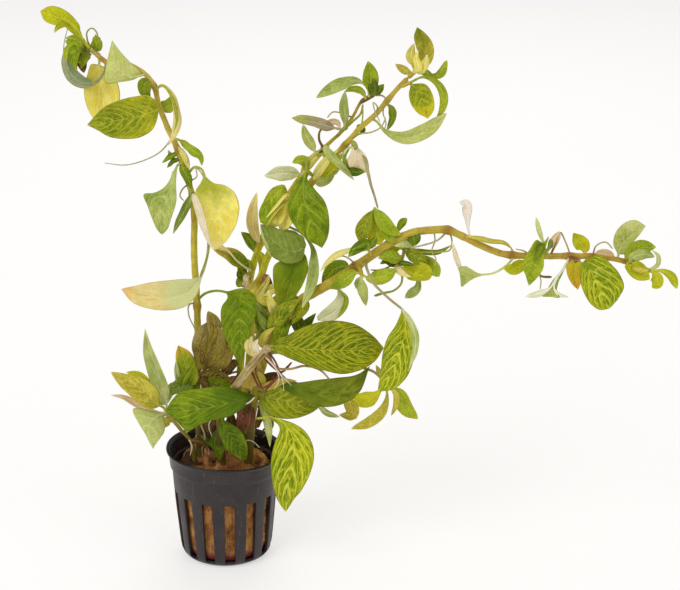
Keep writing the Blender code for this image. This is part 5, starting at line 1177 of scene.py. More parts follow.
            (280, 208), (270, 222)))),
        Blade(((291, 199), (283, 204, -3), (275, 213, -4), (266, 228, -1)), 11, "straw", (10, -10), 20, 0.5,
            veins=4, slant=1.6),
        Blade(((291, 199), (290, 208, -3), (285, 220, -4), (281, 232, -5)), 8, "straw", (10, -10), 20, 0.5,
            veins=4, slant=1.6, age=(0.2, -0.3)),
        Blade(((291, 198), (286, 195, -6), (278, 204, -8), (266, 218, -9)), 1.6, "straw", (10, -10), 30,
            0.5),
        Blade(((291, 198), (285, 203, -6), (276, 212, -8), (266, 227, -9)), 1.2, "olive", (10, -10), 30,
            0.5),
    ), twig=((304, 196), (298, 195, -4), (290, 198, -5)), girth=(1.8, 1.6), bark="stem_yellow"),
    "leaf_middle_dark": Leaf("stem_middle", "deep", (
        Blade(((316, 178), (306, 171, -7), (303, 186, -12), (305, 205, -16), (314, 226, -17),
            (322, 248, -15)), 19.5, "fresh", (-6, 10), 16, 0.46, 0.14, veins=5, margins=(((300, 178),
            (292, 190), (288, 203), (289, 216), (297, 229), (309, 241)), ((307, 178), (315, 189),
            (325, 202), (329, 218), (328, 236)))),
    ), threads=(
        Thread(((316, 178), (307, 170, -7), (306, 163, -7), (309, 156, -6)), (1.1, 0.8), "twig"),
    )),
    "leaf_middle_grey": Leaf("stem_middle", "pale", (
        Blade(((283, 231), (297, 234, -7), (305, 246, -11), (293, 252, -13), (276, 243, -13),
            (260, 224, -11)), 13, "dull", (185, 185), 10, 0.4, 0.4, margins=(((304, 238), (296, 233),
            (284, 231), (271, 226)), ((302, 260), (288, 264), (275, 258), (265, 243)))),
        Blade(((283, 231), (290, 262, -8), (276, 257, -10), (265, 243, -12), (260, 226, -12)), 2.4, "pale",
            (20, 20), 20, 0.5, 0.3),
    )),
    "leaf_middle_green": Leaf("stem_middle", "green", (
        Blade(((277, 241), (289, 245, -5), (295, 257, -8), (293, 270, -9), (289, 287, -10), (282, 308, -8)),
            16, "lime", (10, -10), 16, 0.5, 0.2, veins=5, slant=1.2, age=(-0.9, -0.1), margins=(((284, 258),
            (274, 266), (273, 278), (275, 292), (277, 303)), ((306, 256), (308, 268), (304, 282),
            (297, 294), (288, 305)))),
    )),
    "leaf_middle_strip": Leaf("stem_middle", "pale", (
        Blade(((286, 226), (301, 233, 1), (312, 246, -3), (314, 266, -12), (311, 286, -22),
            (302, 308, -26)), 5.5, "silver", (30, 0), 20, 0.6, 0.2, age=(-0.9, 0)),
    )),
    # Top of the middle stems
    "leaf_upper_pale": Leaf("stem_back", "pale", (
        Blade(((305, 176), (293, 173, -1), (278, 173, -2), (264, 176, -3)), 7.6, "ivory", (-20, -20), 16,
            age=(-0.5, 0.3)),
        Blade(((306, 171), (305, 162, 0), (299, 160, -1), (292, 163, -2)), 5, "lime", (10, 0), 14),
    ), twig=((305, 170), (306, 172, -5), (303, 177, -6)), girth=(1.6, 1.6), bark="stem_yellow"),
    "leaf_upper_olive": Leaf("stem_back", "olive", (
        Blade(((318, 154), (323, 147, -4), (330, 155, -13), (341, 166, -17), (354, 180, -18)), 4.2, "soft",
            (0, -10), 20, 0.5, age=(0, 0.4)),
        Blade(((317, 155), (312, 146, 0), (306, 135, 0), (303, 124, 1)), 4.8, "pale", (0, -10)),
        Blade(((318, 154), (324, 154, -2), (334, 162, -3), (341, 170, -3)), 5, "bright", (20, 0), 20, 0.5),
    ), twig=((321, 151), (320, 152, -5), (316, 155, -6)), girth=(1.8, 1.6), bark="stem_yellow", threads=(
        Thread(((319, 153), (323, 148, -5), (319, 139, -5), (320, 131, -4), (325, 127, -3)), (1.5, 0.9),
            "twig_brown"),
        Thread(((319, 153), (324, 149, -5), (331, 157, -14), (342, 168, -18), (354, 180, -19)), (0.9, 0.5)),
    )),
    "leaf_upper_left": Leaf("stem_back", "tan", (
        Blade(((341, 129), (328, 126, -2), (309, 121, -3), (291, 118, -3)), 4.8, "mauve", (20, -10), 18,
            0.4, age=(0, 0.8), margins=(((328, 121), (312, 116), (300, 115)), ((328, 131), (312, 126),
            (300, 123)))),
        Blade(((344, 129), (345, 120, -2), (344, 107, -3), (345, 91, -4)), 4.6, "soft", (0, -10), 22, 0.5),
        Blade(((341, 129), (336, 122, 1), (329, 123, 1), (322, 127, 1)), 3, "pink", (10, 10), 16),
    ), twig=((347, 126), (345, 129, -5), (339, 130, -5)), girth=(1.6, 1.4), threads=(
        Thread(((344, 129), (352, 122, -2), (361, 113, -2), (363, 104, -2)), (1.3, 0.9), "twig"),
    )),
    "leaf_upper_tan": Leaf("stem_middle", "tan", (
        Blade(((350, 147), (357, 147, -2), (358, 159, -3), (359, 174, -3)), 10.5, "cream", (10, -10), 16,
            0.5, 0.1, age=(0.2, 0.2), margins=(((351, 152), (347, 162), (352, 170)), ((362, 151),
            (368, 161), (368, 171)))),
        Blade(((349, 149), (345, 158, -4), (348, 170, -5), (365, 172, -5)), 4, "deep", (0, -20), 14, 0.7),
        Blade(((351, 147), (346, 150, -2), (344, 158, -3), (347, 166, -3)), 2, "pale", (0, -20), 14, 0.7),
    ), twig=((343, 147), (347, 149, -3), (353, 146, -3)), girth=(1.2, 1), threads=(
        Thread(((353, 146), (364, 157, -4), (368, 172, -5), (371, 185, -5), (375, 198, -4), (378, 209, -4)),
            (0.9, 1.6, 1.2, 0.8)),
        Thread(((352, 146), (354, 143, -4), (356, 147, -5), (355, 150, -5)), (0.9, 2.2, 1.8), "twig"),
    )),
    "leaves_twig": Leaf("stem_back", "green", (
        Blade(((369, 97), (367, 87, -1), (357, 81, -2), (342, 84, -3), (329, 90, -4), (316, 98, -4)), 6.2,
            "soft", (20, 0), 22, 0.5, 0.26),
        Blade(((366, 99), (361, 91, 0), (352, 89, 0), (344, 92, 0)), 3.2, "lime", (20, 0), 14),
        Blade(((373, 96), (371, 84, -2), (370, 73, -3), (368, 61, -3)), 7.6, "lime", (-10, 10), 18, 0.5,
            0.1),
        Blade(((374, 96), (375, 87, -4), (372, 78, -6)), 3.4, "deep", (10, 10), 16, 0.5),
        Blade(((374, 96), (378, 91, 1), (384, 84, 2)), 3.6, "fresh", (10, 10), 12),
        Blade(((374, 96), (371, 90, -3), (368, 84, -3)), 3, "deep", (10, 10), 12),
    ), twig=((362, 103), (364, 101, -4), (375, 95, -4)), girth=(1.5, 1.3), bark="twig_brown", threads=(
        Thread(((374, 95), (383, 96, -1), (387, 101, -2), (388, 106, -2)), (0.9, 0.7)),
    )),
    "leaf_upper_long": Leaf("stem_middle", "green", (
        Blade(((372, 118), (377, 122, -4), (386, 131, -7), (402, 137, -9), (424, 131, -10), (447, 113, -9)),
            7.4, "pale", (30, 0), 22, 0.6, age=(-0.5, -0.1)),
    )),
    "leaf_tip_olive": Leaf("stem_middle", "olive", (
        Blade(((415, 72), (422, 62, -2), (424, 46, -4), (417, 27, -4)), 10.5, "olive", (10, -10), 22, 0.45,
            0.06, age=(0, -0.7), margins=(((419, 62), (417, 50), (414, 36)), ((430, 64), (434, 52),
            (431, 40), (423, 31)))),
        Blade(((413, 73), (406, 71, 2), (401, 68, 3), (395, 64, 3)), 3.6, "olive", (0, 10), 14,
            age=(-0.4, 0.2)),
        Blade(((416, 72), (427, 75, 3), (438, 75, 4), (447, 60, 4)), 4.2, "lime", (10, 30), 14, 0.7),
        Blade(((413, 73), (415, 62, -2), (411, 57, -3), (414, 43, -3)), 5, "yellow", (20, 0), 14,
            age=(-0.1, 0.3)),
        Blade(((415, 72), (421, 68, -6), (426, 61, -7), (427, 54, -7)), 5, "yellow", (20, 0), 14,
            age=(0.2, 0.3)),
        Blade(((414, 73), (418, 66, -7), (416, 58, -8), (418, 50, -8)), 4, "straw", (20, 0), 14,
            age=(0.2, 0.2)),
        Blade(((416, 72), (426, 72, 2), (434, 79, 2), (440, 82, 2)), 2.6, "lime", (20, 0), 14),
    ), twig=((408, 78), (411, 75, 0), (417, 70, 0)), girth=(2.2, 1.9), bark="stem_tan"),
    "leaf_tip_hanging": Leaf("stem_middle", "yellow", (
        Blade(((409, 83), (418, 90, -3), (424, 103, -4), (428, 119, -3)), 12, "netted", (-10, 10), 16, 0.45,
            0.06, veins=5, slant=0.5, age=(-0.1, 0.8), margins=(((409, 92), (411, 104), (418, 113)),
            ((425, 84), (433, 96), (434, 109)))),
        Blade(((409, 83), (424, 77, 2), (438, 84, 3), (444, 98, 2), (442, 110, 1), (436, 120, 1)), 4,
            "lime", (0, 0), 22, 0.6, age=(-0.3, 0)),
    ), twig=((401, 85), (403, 86, -4), (411, 82, -5)), girth=(1.7, 1.6), bark="stem_tan"),
    # Right stem, outwards
    "leaves_right_crown": Leaf("stem_right", "green", (
        Blade(((374, 209), (369, 217, -3), (364, 229, -6), (361, 244, -8)), 7.4, "netted", (10, 20), 20,
            0.6, 0.04, age=(-0.4, 0.4)),
        Blade(((375, 209), (374, 221, -3), (376, 232, -4), (380, 245, -4)), 9.4, "bright", (-10, 10), 16,
            0.6, 0.02, age=(-0.1, 0.2)),
        Blade(((375, 208), (381, 219, -4), (389, 228, -6), (401, 235, -7)), 7, "lime", (-10, 10), 20, 0.5,
            0.02, age=(-0.3, -0.1)),
        Blade(((376, 211), (383, 224, -5), (389, 235, -6), (397, 243, -6)), 7, "lime", (-10, 10), 16, 0.5,
            0.02, age=(0, -0.2)),
        Blade(((391, 238), (398, 230, -2), (402, 223, -2), (407, 218, -2)), 3.6, "fresh", (0, 0), 12, 0.7,
            0.2),
    ), twig=((392, 242), (391, 236, 5), (382, 222, 5), (374, 207, 4)), girth=(1.6, 1), bark="strand"),
    "leaf_right_strand": Leaf("stem_right", "olive", (
        Blade(((367, 251), (352, 250, -1), (337, 255, -2), (327, 263, -2), (320, 272, -2)), 2.8, "yellow",
            (10, 10), 10, 0.5, age=(-0.3, 0.4)),
        Blade(((370, 249), (374, 240, -4), (377, 236, -5)), 4, "fresh", (10, 10), 14),
        Blade(((370, 249), (366, 244, -4), (358, 248, -5), (348, 257, -5)), 5.4, "fresh", (10, 10), 14),
        Blade(((369, 249), (366, 244, -4), (360, 246, -6), (352, 250, -6)), 3, "fresh", (10, 10), 14),
    ), twig=((371, 256), (370, 253, -4), (368, 249, -5)), girth=(1.5, 1.3), bark="stem_tan"),
    "leaves_right_below": Leaf("stem_right", "green", (
        Blade(((361, 274), (354, 273, -1), (344, 280, -3), (331, 288, -3)), 6.6, "lime", (10, -10), 16, 0.5,
            age=(0, -0.4)),
        Blade(((363, 276), (362, 285, -1), (364, 295, -2), (366, 306, -1)), 5, "soft", (20, 0), 20, 0.3,
            age=(0, 0.5)),
        Blade(((362, 274), (368, 278, 0), (382, 276, -1), (397, 269, -1)), 7.4, "lime", (0, 20), 14, 0.5),
        Blade(((363, 275), (358, 282, 0), (356, 289, 0)), 3, "soft", (0, 20), 14, 0.5),
    ), twig=((358, 265), (360, 269, -4), (362, 276, -5)), girth=(2, 1.8), bark="stem_tan"),
    "leaves_right_cluster": Leaf("stem_right", "green", (
        Blade(((400, 267), (409, 272, -4), (421, 275, -6), (433, 273, -6)), 9, "bright", (10, -10), 16, 0.5,
            0.08, veins=5, age=(0, 0.3), margins=(((408, 265), (420, 262), (430, 266)), ((408, 279),
            (420, 281), (430, 279)))),
        Blade(((404, 250), (400, 248, 0), (390, 251, 2), (379, 258, 3)), 6, "bright", (10, 0), 14, 0.45),
        Blade(((404, 256), (396, 258, -4), (388, 256, -6), (378, 258, -6)), 6, "lime", (10, 0), 14, 0.45,
            age=(0, 0.1)),
        Blade(((402, 262), (394, 264, -2), (386, 261, -3), (380, 264, -3)), 3.4, "deep", (10, 0), 14, 0.45),
        Blade(((404, 252), (412, 254, -6), (420, 259, -8), (427, 266, -8)), 6.4, "netted", (0, 10), 16, 0.5,
            age=(0, 0.2)),
        Blade(((404, 252), (418, 256, -4), (430, 263, -6), (439, 277, -6)), 6, "lime", (0, 10), 16, 0.7,
            age=(-0.5, -0.2)),
        Blade(((401, 265), (405, 263, -8), (410, 264, -9), (416, 266, -9)), 2.4, "deep", (0, 10), 16, 0.5),
        Blade(((401, 265), (414, 268, 1), (418, 276, 1), (418, 287, 0), (405, 298, 0)), 4.6, "soft",
            (10, 10), 20, 0.72, 0.3),
        Blade(((404, 248), (419, 251, 0), (438, 252, -1), (452, 245, -2)), 2.6, "fresh", (10, 10), 12),
        Blade(((404, 247), (411, 243, -3), (404, 244, -6), (394, 246, -7)), 4.4, "silver", (10, 10), 12),
        Blade(((401, 266), (398, 269, -6), (404, 274, -8), (411, 277, -8)), 3.4, "tan", (10, 10), 12),
    ), twig=((403, 236), (405, 244, 5), (403, 256, 5), (399, 268, 4)), girth=(1.6, 1.5), bark="stem_tan",
        threads=(
        Thread(((400, 266), (402, 274, -1), (401, 284, -1), (393, 291, -1), (384, 293, -1), (374, 296, -1)),
            (1.1, 0.9, 1.3), "twig"),
        Thread(((402, 262), (391, 266, -3), (380, 270, -3), (370, 270, -3)), (0.8, 0.6), "twig_brown"),
    )),
    "leaf_right_triangle": Leaf("stem_right", "pale", (
        Blade(((514, 255), (507, 265, -4), (494, 273, -7), (478, 275, -9), (460, 277, -10)), 8, "pale",
            (-10, -10), 18, 0.7, 0.55, age=(0, -0.6), margins=(((478, 273), (471, 269), (465, 266),
            (460, 267)), ((478, 277), (471, 280), (466, 284), (462, 287)))),
        Blade(((514, 255), (507, 265, -3), (494, 273, -6), (478, 275, -8), (463, 276, -9), (459, 266, -9),
            (455, 254, -9), (452, 241, -9)), 2.4, "cream", (10, 10), 18, 0.5, 0.62),
    )),
    "leaf_right_green": Leaf("stem_right", "green", (
        Blade(((545, 250), (543, 244, -1), (537, 256, -4), (532, 270, -5), (529, 286, -3)), 12, "lime",
            (-10, 10), 20, 0.4, 0.14, age=(-0.5, 0), margins=(((537, 240), (530, 249), (525, 257),
            (523, 267), (526, 278)), ((549, 236), (546, 247), (544, 257), (543, 269), (536, 279)))),
        Blade(((545, 250), (543, 242, 1), (539, 230, 1), (536, 217, 2)), 2.2, "pale", (0, 0), 16, 0.6),
        Blade(((546, 251), (542, 247, -7), (537, 255, -8), (534, 262, -8)), 2.6, "deep", (20, 0), 16, 0.6),
        Blade(((547, 252), (550, 246, -1), (551, 238, -1)), 2.4, "dull", (20, 0), 16, 0.6),
    ), twig=((547, 256), (546, 254, -5), (545, 248, -6)), girth=(1.6, 1.4)),
    "leaf_right_flared": Leaf("stem_right", "pale", (
        Blade(((569, 258), (564, 268, -4), (556, 278, -6), (552, 287, -7), (549, 297, -7)), 6.6, "soft",
            (10, 10), 12, 0.7, 0.2, margins=(((561, 271), (553, 280), (548, 288), (541, 296)), ((562, 275),
            (558, 284), (557, 291), (560, 297)))),
        Blade(((569, 258), (564, 268, -5), (556, 278, -7), (550, 288, -8), (541, 293, -8), (525, 297, -8)),
            2.8, "ivory", (10, 10), 12, 0.5, 0.6),
        Blade(((569, 258), (564, 268, -5), (557, 278, -7), (554, 288, -8), (560, 295, -8), (569, 297, -8)),
            1.6, "ivory", (10, 10), 12, 0.5, 0.66),
    )),
    "leaf_right_orange": Leaf("stem_right", "yellow", (
        Blade(((577, 257), (575, 266, -4), (574, 278, -5), (578, 290, -4)), 8, "bright", (-10, 10), 18,
            0.45, 0.06, age=(0.3, 0.7), margins=(((567, 264), (567, 274), (572, 284)), ((583, 264),
            (583, 276), (581, 284)))),
    )),
    "leaf_right_veined": Leaf("stem_right", "green", (
        Blade(((587, 256), (589, 265, -7), (594, 278, -11), (601, 292, -13), (609, 309, -12)), 20.5,
            "variegated", (-8, 8), 12, 0.42, 0.06, curl=4, veins=5, slant=0.75, age=(-0.35, -0.1),
            margins=(((582, 262), (580, 276), (584, 293), (592, 305), (601, 310)), ((600, 256), (612, 265),
            (620, 275), (624, 287), (619, 298)))),
    )),
    "leaf_right_grey": Leaf("stem_right", "pale", (
        Blade(((617, 260), (620, 248, 3), (629, 236, 5), (646, 226, 6)), 13.5, "pale", (-10, 10), 20, 0.42,
            0.14, 0.1, margins=(((614, 247), (615, 234), (623, 224), (635, 220)), ((625, 254), (632, 244),
            (640, 234)))),
    )),
    "leaves_right_tip": Leaf("stem_right", "green", (
        Blade(((640, 266), (630, 256, 1), (640, 248, 3), (656, 247, 4)), 7.6, "lime", (10, 0), 16, 0.5),
        Blade(((640, 266), (632, 258, -3), (644, 254, -2), (655, 257, -1)), 5, "soft", (10, 0), 16, 0.5),
        Blade(((637, 264), (630, 264, -3), (638, 271, -4), (650, 279, -4)), 8, "bright", (-10, 0), 16, 0.5,
            age=(0, 0.3)),
        Blade(((637, 264), (636, 268, -6), (642, 270, -7), (649, 270, -7)), 3, "olive", (0, 10), 16, 0.5),
        Blade(((650, 271), (656, 276, -1), (657, 283, -2), (652, 288, -2)), 5.8, "bright", (10, 0), 14,
            0.5),
        Blade(((650, 271), (662, 271, 1), (671, 276, 1), (677, 289, 1)), 4, "bright", (-10, 0), 18, 0.6),
        Blade(((648, 270), (658, 264, 3), (658, 256, 4), (652, 250, 4)), 2, "pale", (10, 10), 12),
    ), twig=((631, 263), (634, 264, -4), (643, 267, -5), (652, 272, -5)), girth=(1.7, 1.2)),
    # Centre and front
    "leaf_front_variegated": Leaf("stem_right", "yellow", (
        Blade(((402, 309), (405, 321, -2), (402, 344, -3), (394, 368, -3), (378, 392, 0)), 18, "variegated",
            (-8, 8), 18, 0.42, 0.02, slant=0.55, margins=(((395, 326), (387, 339), (383, 352), (381, 367),
            (379, 381)), ((409, 320), (415, 331), (416, 343), (414, 358), (406, 378), (392, 390)))),
        Blade(((402, 309), (410, 321, -7), (415, 334, -8), (415, 350, -8), (409, 369, -8)), 3.6, "silver",
            (10, 10), 18, 0.5, 0.02, veins=3, slant=1.8),
    ), twig=((366, 260), (367, 269, -10), (372, 281, -14), (385, 295, -15), (402, 309, -15)),
        girth=(1.3, 1.1), bark="strand"),
    "leaves_front_tip": Leaf("dry_stem", "olive", (
        Blade(((384, 385), (375, 395, 0), (365, 402, 1), (353, 399, 2)), 7.5, "bright", (20, 30), 14, 0.5,
            age=(0.4, 0.2), margins=(((376, 391), (365, 392), (356, 395)), ((378, 400), (370, 407),
            (360, 407)))),
        Blade(((386, 384), (387, 398, -3), (382, 412, -4), (370, 422, -4), (351, 429, -4)), 5.6, "olive",
            (10, 10), 20, 0.55, age=(-0.4, 0.3)),
        Blade(((387, 385), (396, 394, -1), (396, 405, -1), (391, 416, -1)), 3, "olive", (10, 0), 14),
        Blade(((387, 385), (399, 393, 1), (405, 407, 1), (418, 419, 1)), 7.4, "lime", (0, 0), 18, 0.5,
            age=(0.2, 0.3)),
        Blade(((384, 380), (380, 374, 0), (376, 365, 0)), 2.4, "olive", (20, 10), 18, 0.5),
    ), twig=((262, 354), (280, 352, 3), (306, 355, 4), (334, 362, 4), (360, 367, 4), (374, 372, 1),
        (388, 386, -2)), girth=(1.8, 1.2), bark="strand"),
    "leaf_centre_veined": Leaf("dry_stem", "green", (
        Blade(((270, 346), (282, 346, -3), (304, 349, -5), (330, 350, -6), (356, 350, -5), (384, 348, -2)),
            25, "veined", (6, -8), 12, 0.56, 0.04, curl=4, veins=12, slant=0.5, margins=(((275, 341),
            (286, 336), (301, 328), (320, 322), (340, 321), (357, 325), (372, 335)), ((274, 350),
            (284, 356), (298, 362), (312, 367), (326, 371), (342, 374), (358, 371), (374, 362)))),
    )),
    "leaf_centre_back": Leaf("stem_right", "deep", (
        Blade(((262, 383), (280, 384, -13), (300, 390, -16), (323, 393, -15), (346, 388, -15),
            (370, 366, -15)), 14.5, "mossy", (2, 5), 10, 0.6, 0.2, veins=5, age=(-0.6, 0.2),
            margins=(((304, 382), (316, 380), (335, 378), (358, 374)), ((303, 400), (312, 404), (324, 407),
            (340, 405), (358, 394)))),
        Blade(((264, 383), (300, 395, 3), (326, 401, 4), (346, 398, 4), (352, 415, 4), (339, 415, 3)), 6.6,
            "olive", (10, 0), 12, 0.5, 0.62, age=(-0.4, 0.3)),
        Blade(((264, 383), (296, 397, 2), (318, 405, 3), (327, 413, 3), (340, 417, 3)), 3, "silver",
            (10, 0), 12, 0.5, 0.66),
    ), twig=((258, 381), (261, 382, 4), (268, 384, 5)), girth=(1.8, 1.8)),
    "leaf_centre_variegated": Leaf("stem_right", "green", (
        Blade(((256, 391), (266, 397, -6), (284, 400, -8), (303, 403, -7), (326, 403, -5)), 18.5, "netted",
            (-8, 10), 12, 0.46, 0.06, slant=0.5, age=(-0.1, 0), margins=(((266, 386), (283, 381),
            (300, 383), (315, 391)), ((262, 408), (275, 417), (290, 419), (309, 414)))),
        Blade(((257, 388), (268, 386, -9), (282, 381, -10), (297, 381, -10)), 4, "olive", (10, 10), 18, 0.5,
            0.02, age=(0.5, 0.5)),
    )),
    "leaf_front_veined": Leaf("stem_right", "yellow", (
        Blade(((251, 418), (262, 418, -10), (274, 417, -17), (284, 423, -21), (293, 438, -23),
            (293, 458, -25), (288, 486, -25), (286, 512, -22)), 20, "variegated", (6, -8), 14, 0.42, 0.24,
            veins=6, slant=0.6, margins=(((280, 428), (275, 442), (271, 460), (272, 479), (279, 503)),
            ((295, 424), (304, 430), (312, 443), (314, 457), (311, 471), (304, 486), (293, 501)))),
    )),
    "leaf_pot_green": Leaf("dry_stem", "green", (
        Blade(((224, 412), (222, 421, -3), (233, 439, -6), (246, 460, -6)), 10.5, "deep", (0, 0), 18, 0.5,
            age=(0, 0.4)),
    )),
}
print(len(STEMS), "stems and", len(LEAVES), "leaves or shoots")

# %% [markdown]
# ## Growing the plant
# A stem's centreline starts inside the plug. Leaves start on the centreline too, so each stalk comes out of
# its stem with no gap, as it does on the plant.

# %% Grow stems and leaves
PLUG_TOP = 47 * MM
SOCKET_DEPTH = 5 * MM
SEED_STEP = 7


def stem_line(stem):
    """Centreline: the foot in the plug, then each seen point, on one smooth curve."""
    foot = np.array((stem.foot[0] * MM, stem.foot[1] * MM, PLUG_TOP - SOCKET_DEPTH))
    return smooth_path(np.concatenate((foot[None], on_rays(stem.seen))))


def grow_stem(name, stem, line):
    """The stem, its leaflets and its strands as one piece."""
    skins = [tube_skin(line, stem.girth, STEM_SIDES, stem.look, stem.joints)]
    skins += [blade_skin(blade, placed(blade.seen, line), k) for k, blade in enumerate(stem.leaflets)]
    skins += thread_skins(stem.threads, line)
    return add_piece(skinned(f"{name}_grown", skins), name)


def grow_leaf(name, leaf, line, seed):
    """The twig, if there is one, and its blades and strands as one piece."""
    skins = []
    if leaf.twig:
        line = placed(leaf.twig, line)
        skins.append(tube_skin(line, leaf.girth, TWIG_SIDES, leaf.bark))
    skins += [blade_skin(blade, placed(blade.seen, line), seed + k) for k, blade in enumerate(leaf.blades)]
    skins += thread_skins(leaf.threads, line)
    return add_piece(skinned(f"{name}_grown", skins), name)


LINES = {name: stem_line(stem) for name, stem in STEMS.items()}
grown = [grow_stem(name, stem, LINES[name]) for name, stem in STEMS.items()]
for k, (name, leaf) in enumerate(LEAVES.items()):
    grown.append(grow_leaf(name, leaf, LINES[leaf.on], SEED_STEP * k))
print(len(grown), "pieces of the plant,", sum(len(piece.data.polygons) for piece in grown), "faces")

# %% [markdown]
# ## The net pot
# The pot is thin soft plastic: a round-cornered foot, a tapered wall with slots, a plain collar and a
# rolled lip that leans a little. Cutting slots with a Boolean would leave ragged corners. Instead the wall
# is a grid whose columns run along the slots' edges. The cells inside a slot are left out, inside and
# outside alike, and short faces join the two walls round each hole. A Bevel then softens every edge, as a
# mould does.

# %% Make the pot
POT_HEIGHT = 53 * MM
LIP_TILT = 0.045
SLOTS = 14
# The middle of the first slot, a little to the right of the front
SLOT_TURN = math.radians(7.8) - math.pi / 2
SLOT_WIDTH = 4.9 * MM
SLOT_BOTTOM = 2.2 * MM
SLOT_TOP = 33.5 * MM
WALL = 1.3 * MM
POT_ROWS = 90
# Nearer the axis than this, the columns run straight in
NARROWEST = 6 * MM
# Unroundness of the lip and of the wall, as shares of the radius, and the wave of the lip's edge
OVAL = 0.008
DENTS = 0.003
DENT_SIZE = 30 * MM
LIP_WAVE = 0.25 * MM
# Outside of the wall from the foot's middle up to the lip, as (radius, height) in millimetres
OUTSIDE = (
    (0, 0), (8, 0), (14.6, 0), (16.9, 0), (18.7, 0.35), (20.0, 1.15), (20.8, 2.2), (21.4, 3.6), (21.8, 6),
    (22.2, 10), (22.7, 16), (23.2, 22), (23.7, 28), (24.1, 33.5), (24.4, 37), (24.65, 41), (24.75, 44),
    (25.8, 45), (26.0, 48), (26.4, 51), (26.9, 51.7), (27.3, 52.1), (27.3, 52.6), (26.9, 52.95),
)
# The outside rises steadily from this one of its points
FOOT_RIM = 3
# Columns in a slot, as shares of its half angle, and steps over the rib beside it
ACROSS_SLOT = (-1, -0.5, 0, 0.5, 1)
RIB_STEPS = 5


def pot_section():
    """Radius and height of the rows: even steps along the outside, its own points, and the slots' ends."""
    radius, height = (np.array(OUTSIDE) * MM).T
    along = walked(np.array(OUTSIDE) * MM)
    ends = np.interp((SLOT_BOTTOM, SLOT_TOP), height[FOOT_RIM:], along[FOOT_RIM:])
    stops = np.unique(np.concatenate((np.linspace(0, along[-1], POT_ROWS), along, ends)))
    return np.interp(stops, along, radius), np.interp(stops, along, height)


def pot_columns(radius):
    """Angles of each row's columns: in a slot, shares of its half angle asin(w / 2r), then over the rib."""
    half = np.arcsin(SLOT_WIDTH / 2 / np.maximum(radius, NARROWEST))[:, None]
    pitch = 2 * math.pi / SLOTS
    slot = half * np.array(ACROSS_SLOT)
    share = (np.arange(1, RIB_STEPS) / RIB_STEPS)[None]
    rib = half * (1 - share) + (pitch - half) * share
    one = np.concatenate((slot, rib), axis=1)
    middles = SLOT_TURN + pitch * np.arange(SLOTS)
    return (middles[None, :, None] + one[:, None]).reshape(len(radius), -1)


def inset(radius, height):
    """The inner wall: each row moved square to the section by the wall's thickness, never past the axis."""
    way = unit(np.column_stack((np.gradient(radius), np.gradient(height))))
    inner = np.maximum(radius - way[:, 1] * WALL, 0)
    return inner, height + way[:, 0] * WALL


def soft_pot(points):
    """Lean of the lip, z less tilt x (z / h) squared, and a soft wall that is nowhere quite round."""
    x, y, z = points.T
    turn = np.arctan2(y, x)
    rise = (z / POT_HEIGHT) ** 2
    dent = 1 + OVAL * rise * np.sin(2 * turn + 0.8) + DENTS * ripple(points, DENT_SIZE, 5)
    lowered = z - LIP_TILT * x * rise + LIP_WAVE * rise * np.sin(3 * turn)
    return np.column_stack((x * dent, y * dent, lowered))


def turned(radius, height, turn):
    """Points of a turned form, one row for each place of its section: (r cos t, r sin t, z)."""
    radius, height = radius[:, None], height[:, None]
    return np.stack(np.broadcast_arrays(radius * np.cos(turn), radius * np.sin(turn), height), axis=-1)


def bridge(start, end, shift):
    """Quads start, end, end + shift, start + shift, where the shift leads on to the other two corners."""
    return np.column_stack((start, end, end + shift, start + shift))


def make_pot():
    """Outer wall, inner wall, the faces round each slot and the lip's edge, as one closed shell."""
    radius, height = pot_section()
    turn = pot_columns(radius)
    rows, columns = turn.shape
    inner = rows * columns
    walls = np.concatenate((turned(radius, height, turn), turned(*inset(radius, height), turn)))
    middle = (height[1:] + height[:-1]) / 2
    in_slot = np.arange(columns) % (columns // SLOTS) < len(ACROSS_SLOT) - 1
    keep = ~(((middle > SLOT_BOTTOM) & (middle < SLOT_TOP))[:, None] & in_slot)
    faces = ring_quads(keep)
    quads = [faces, faces[:, ::-1] + inner]
    before = np.roll(keep, 1, axis=1)
    row, k = np.nonzero(keep & ~before)
    here = row * columns + k
    quads.append(bridge(here, here + columns, inner))
    row, k = np.nonzero(~keep & before)
    here = row * columns + k
    quads.append(bridge(here, here + inner, columns))
    for change, flip in ((keep[1:] & ~keep[:-1], 1), (keep[:-1] & ~keep[1:], -1)):
        row, k = np.nonzero(change)
        here = (row + 1) * columns + k
        quads.append(bridge(here, here + inner, (k + 1) % columns - k)[:, ::flip])
    k = np.arange(columns)
    top = (rows - 1) * columns
    quads.append(bridge(top + k, top + (k + 1) % columns, inner))
    mesh = bpy.data.meshes.new("pot_moulded")
    mesh.from_pydata(soft_pot(walls.reshape(-1, 3)).tolist(), [], np.concatenate(quads).tolist())
    return mesh


def cleaned(mesh):
    """Merge points that meet on the axis, and turn all faces outwards."""
    work = bmesh.new()
    work.from_mesh(mesh)
    bmesh.ops.remove_doubles(work, verts=work.verts, dist=MM / 500)
    bmesh.ops.dissolve_degenerate(work, edges=work.edges, dist=MM / 500)
    bmesh.ops.recalc_face_normals(work, faces=work.faces)
    open_edges = sum(not edge.is_manifold for edge in work.edges)
    print(mesh.name, "open edges:", open_edges, "volume", work.calc_volume(signed=True) / MM ** 3)
    work.to_mesh(mesh)
    work.free()
    mesh.shade_smooth()
    return mesh
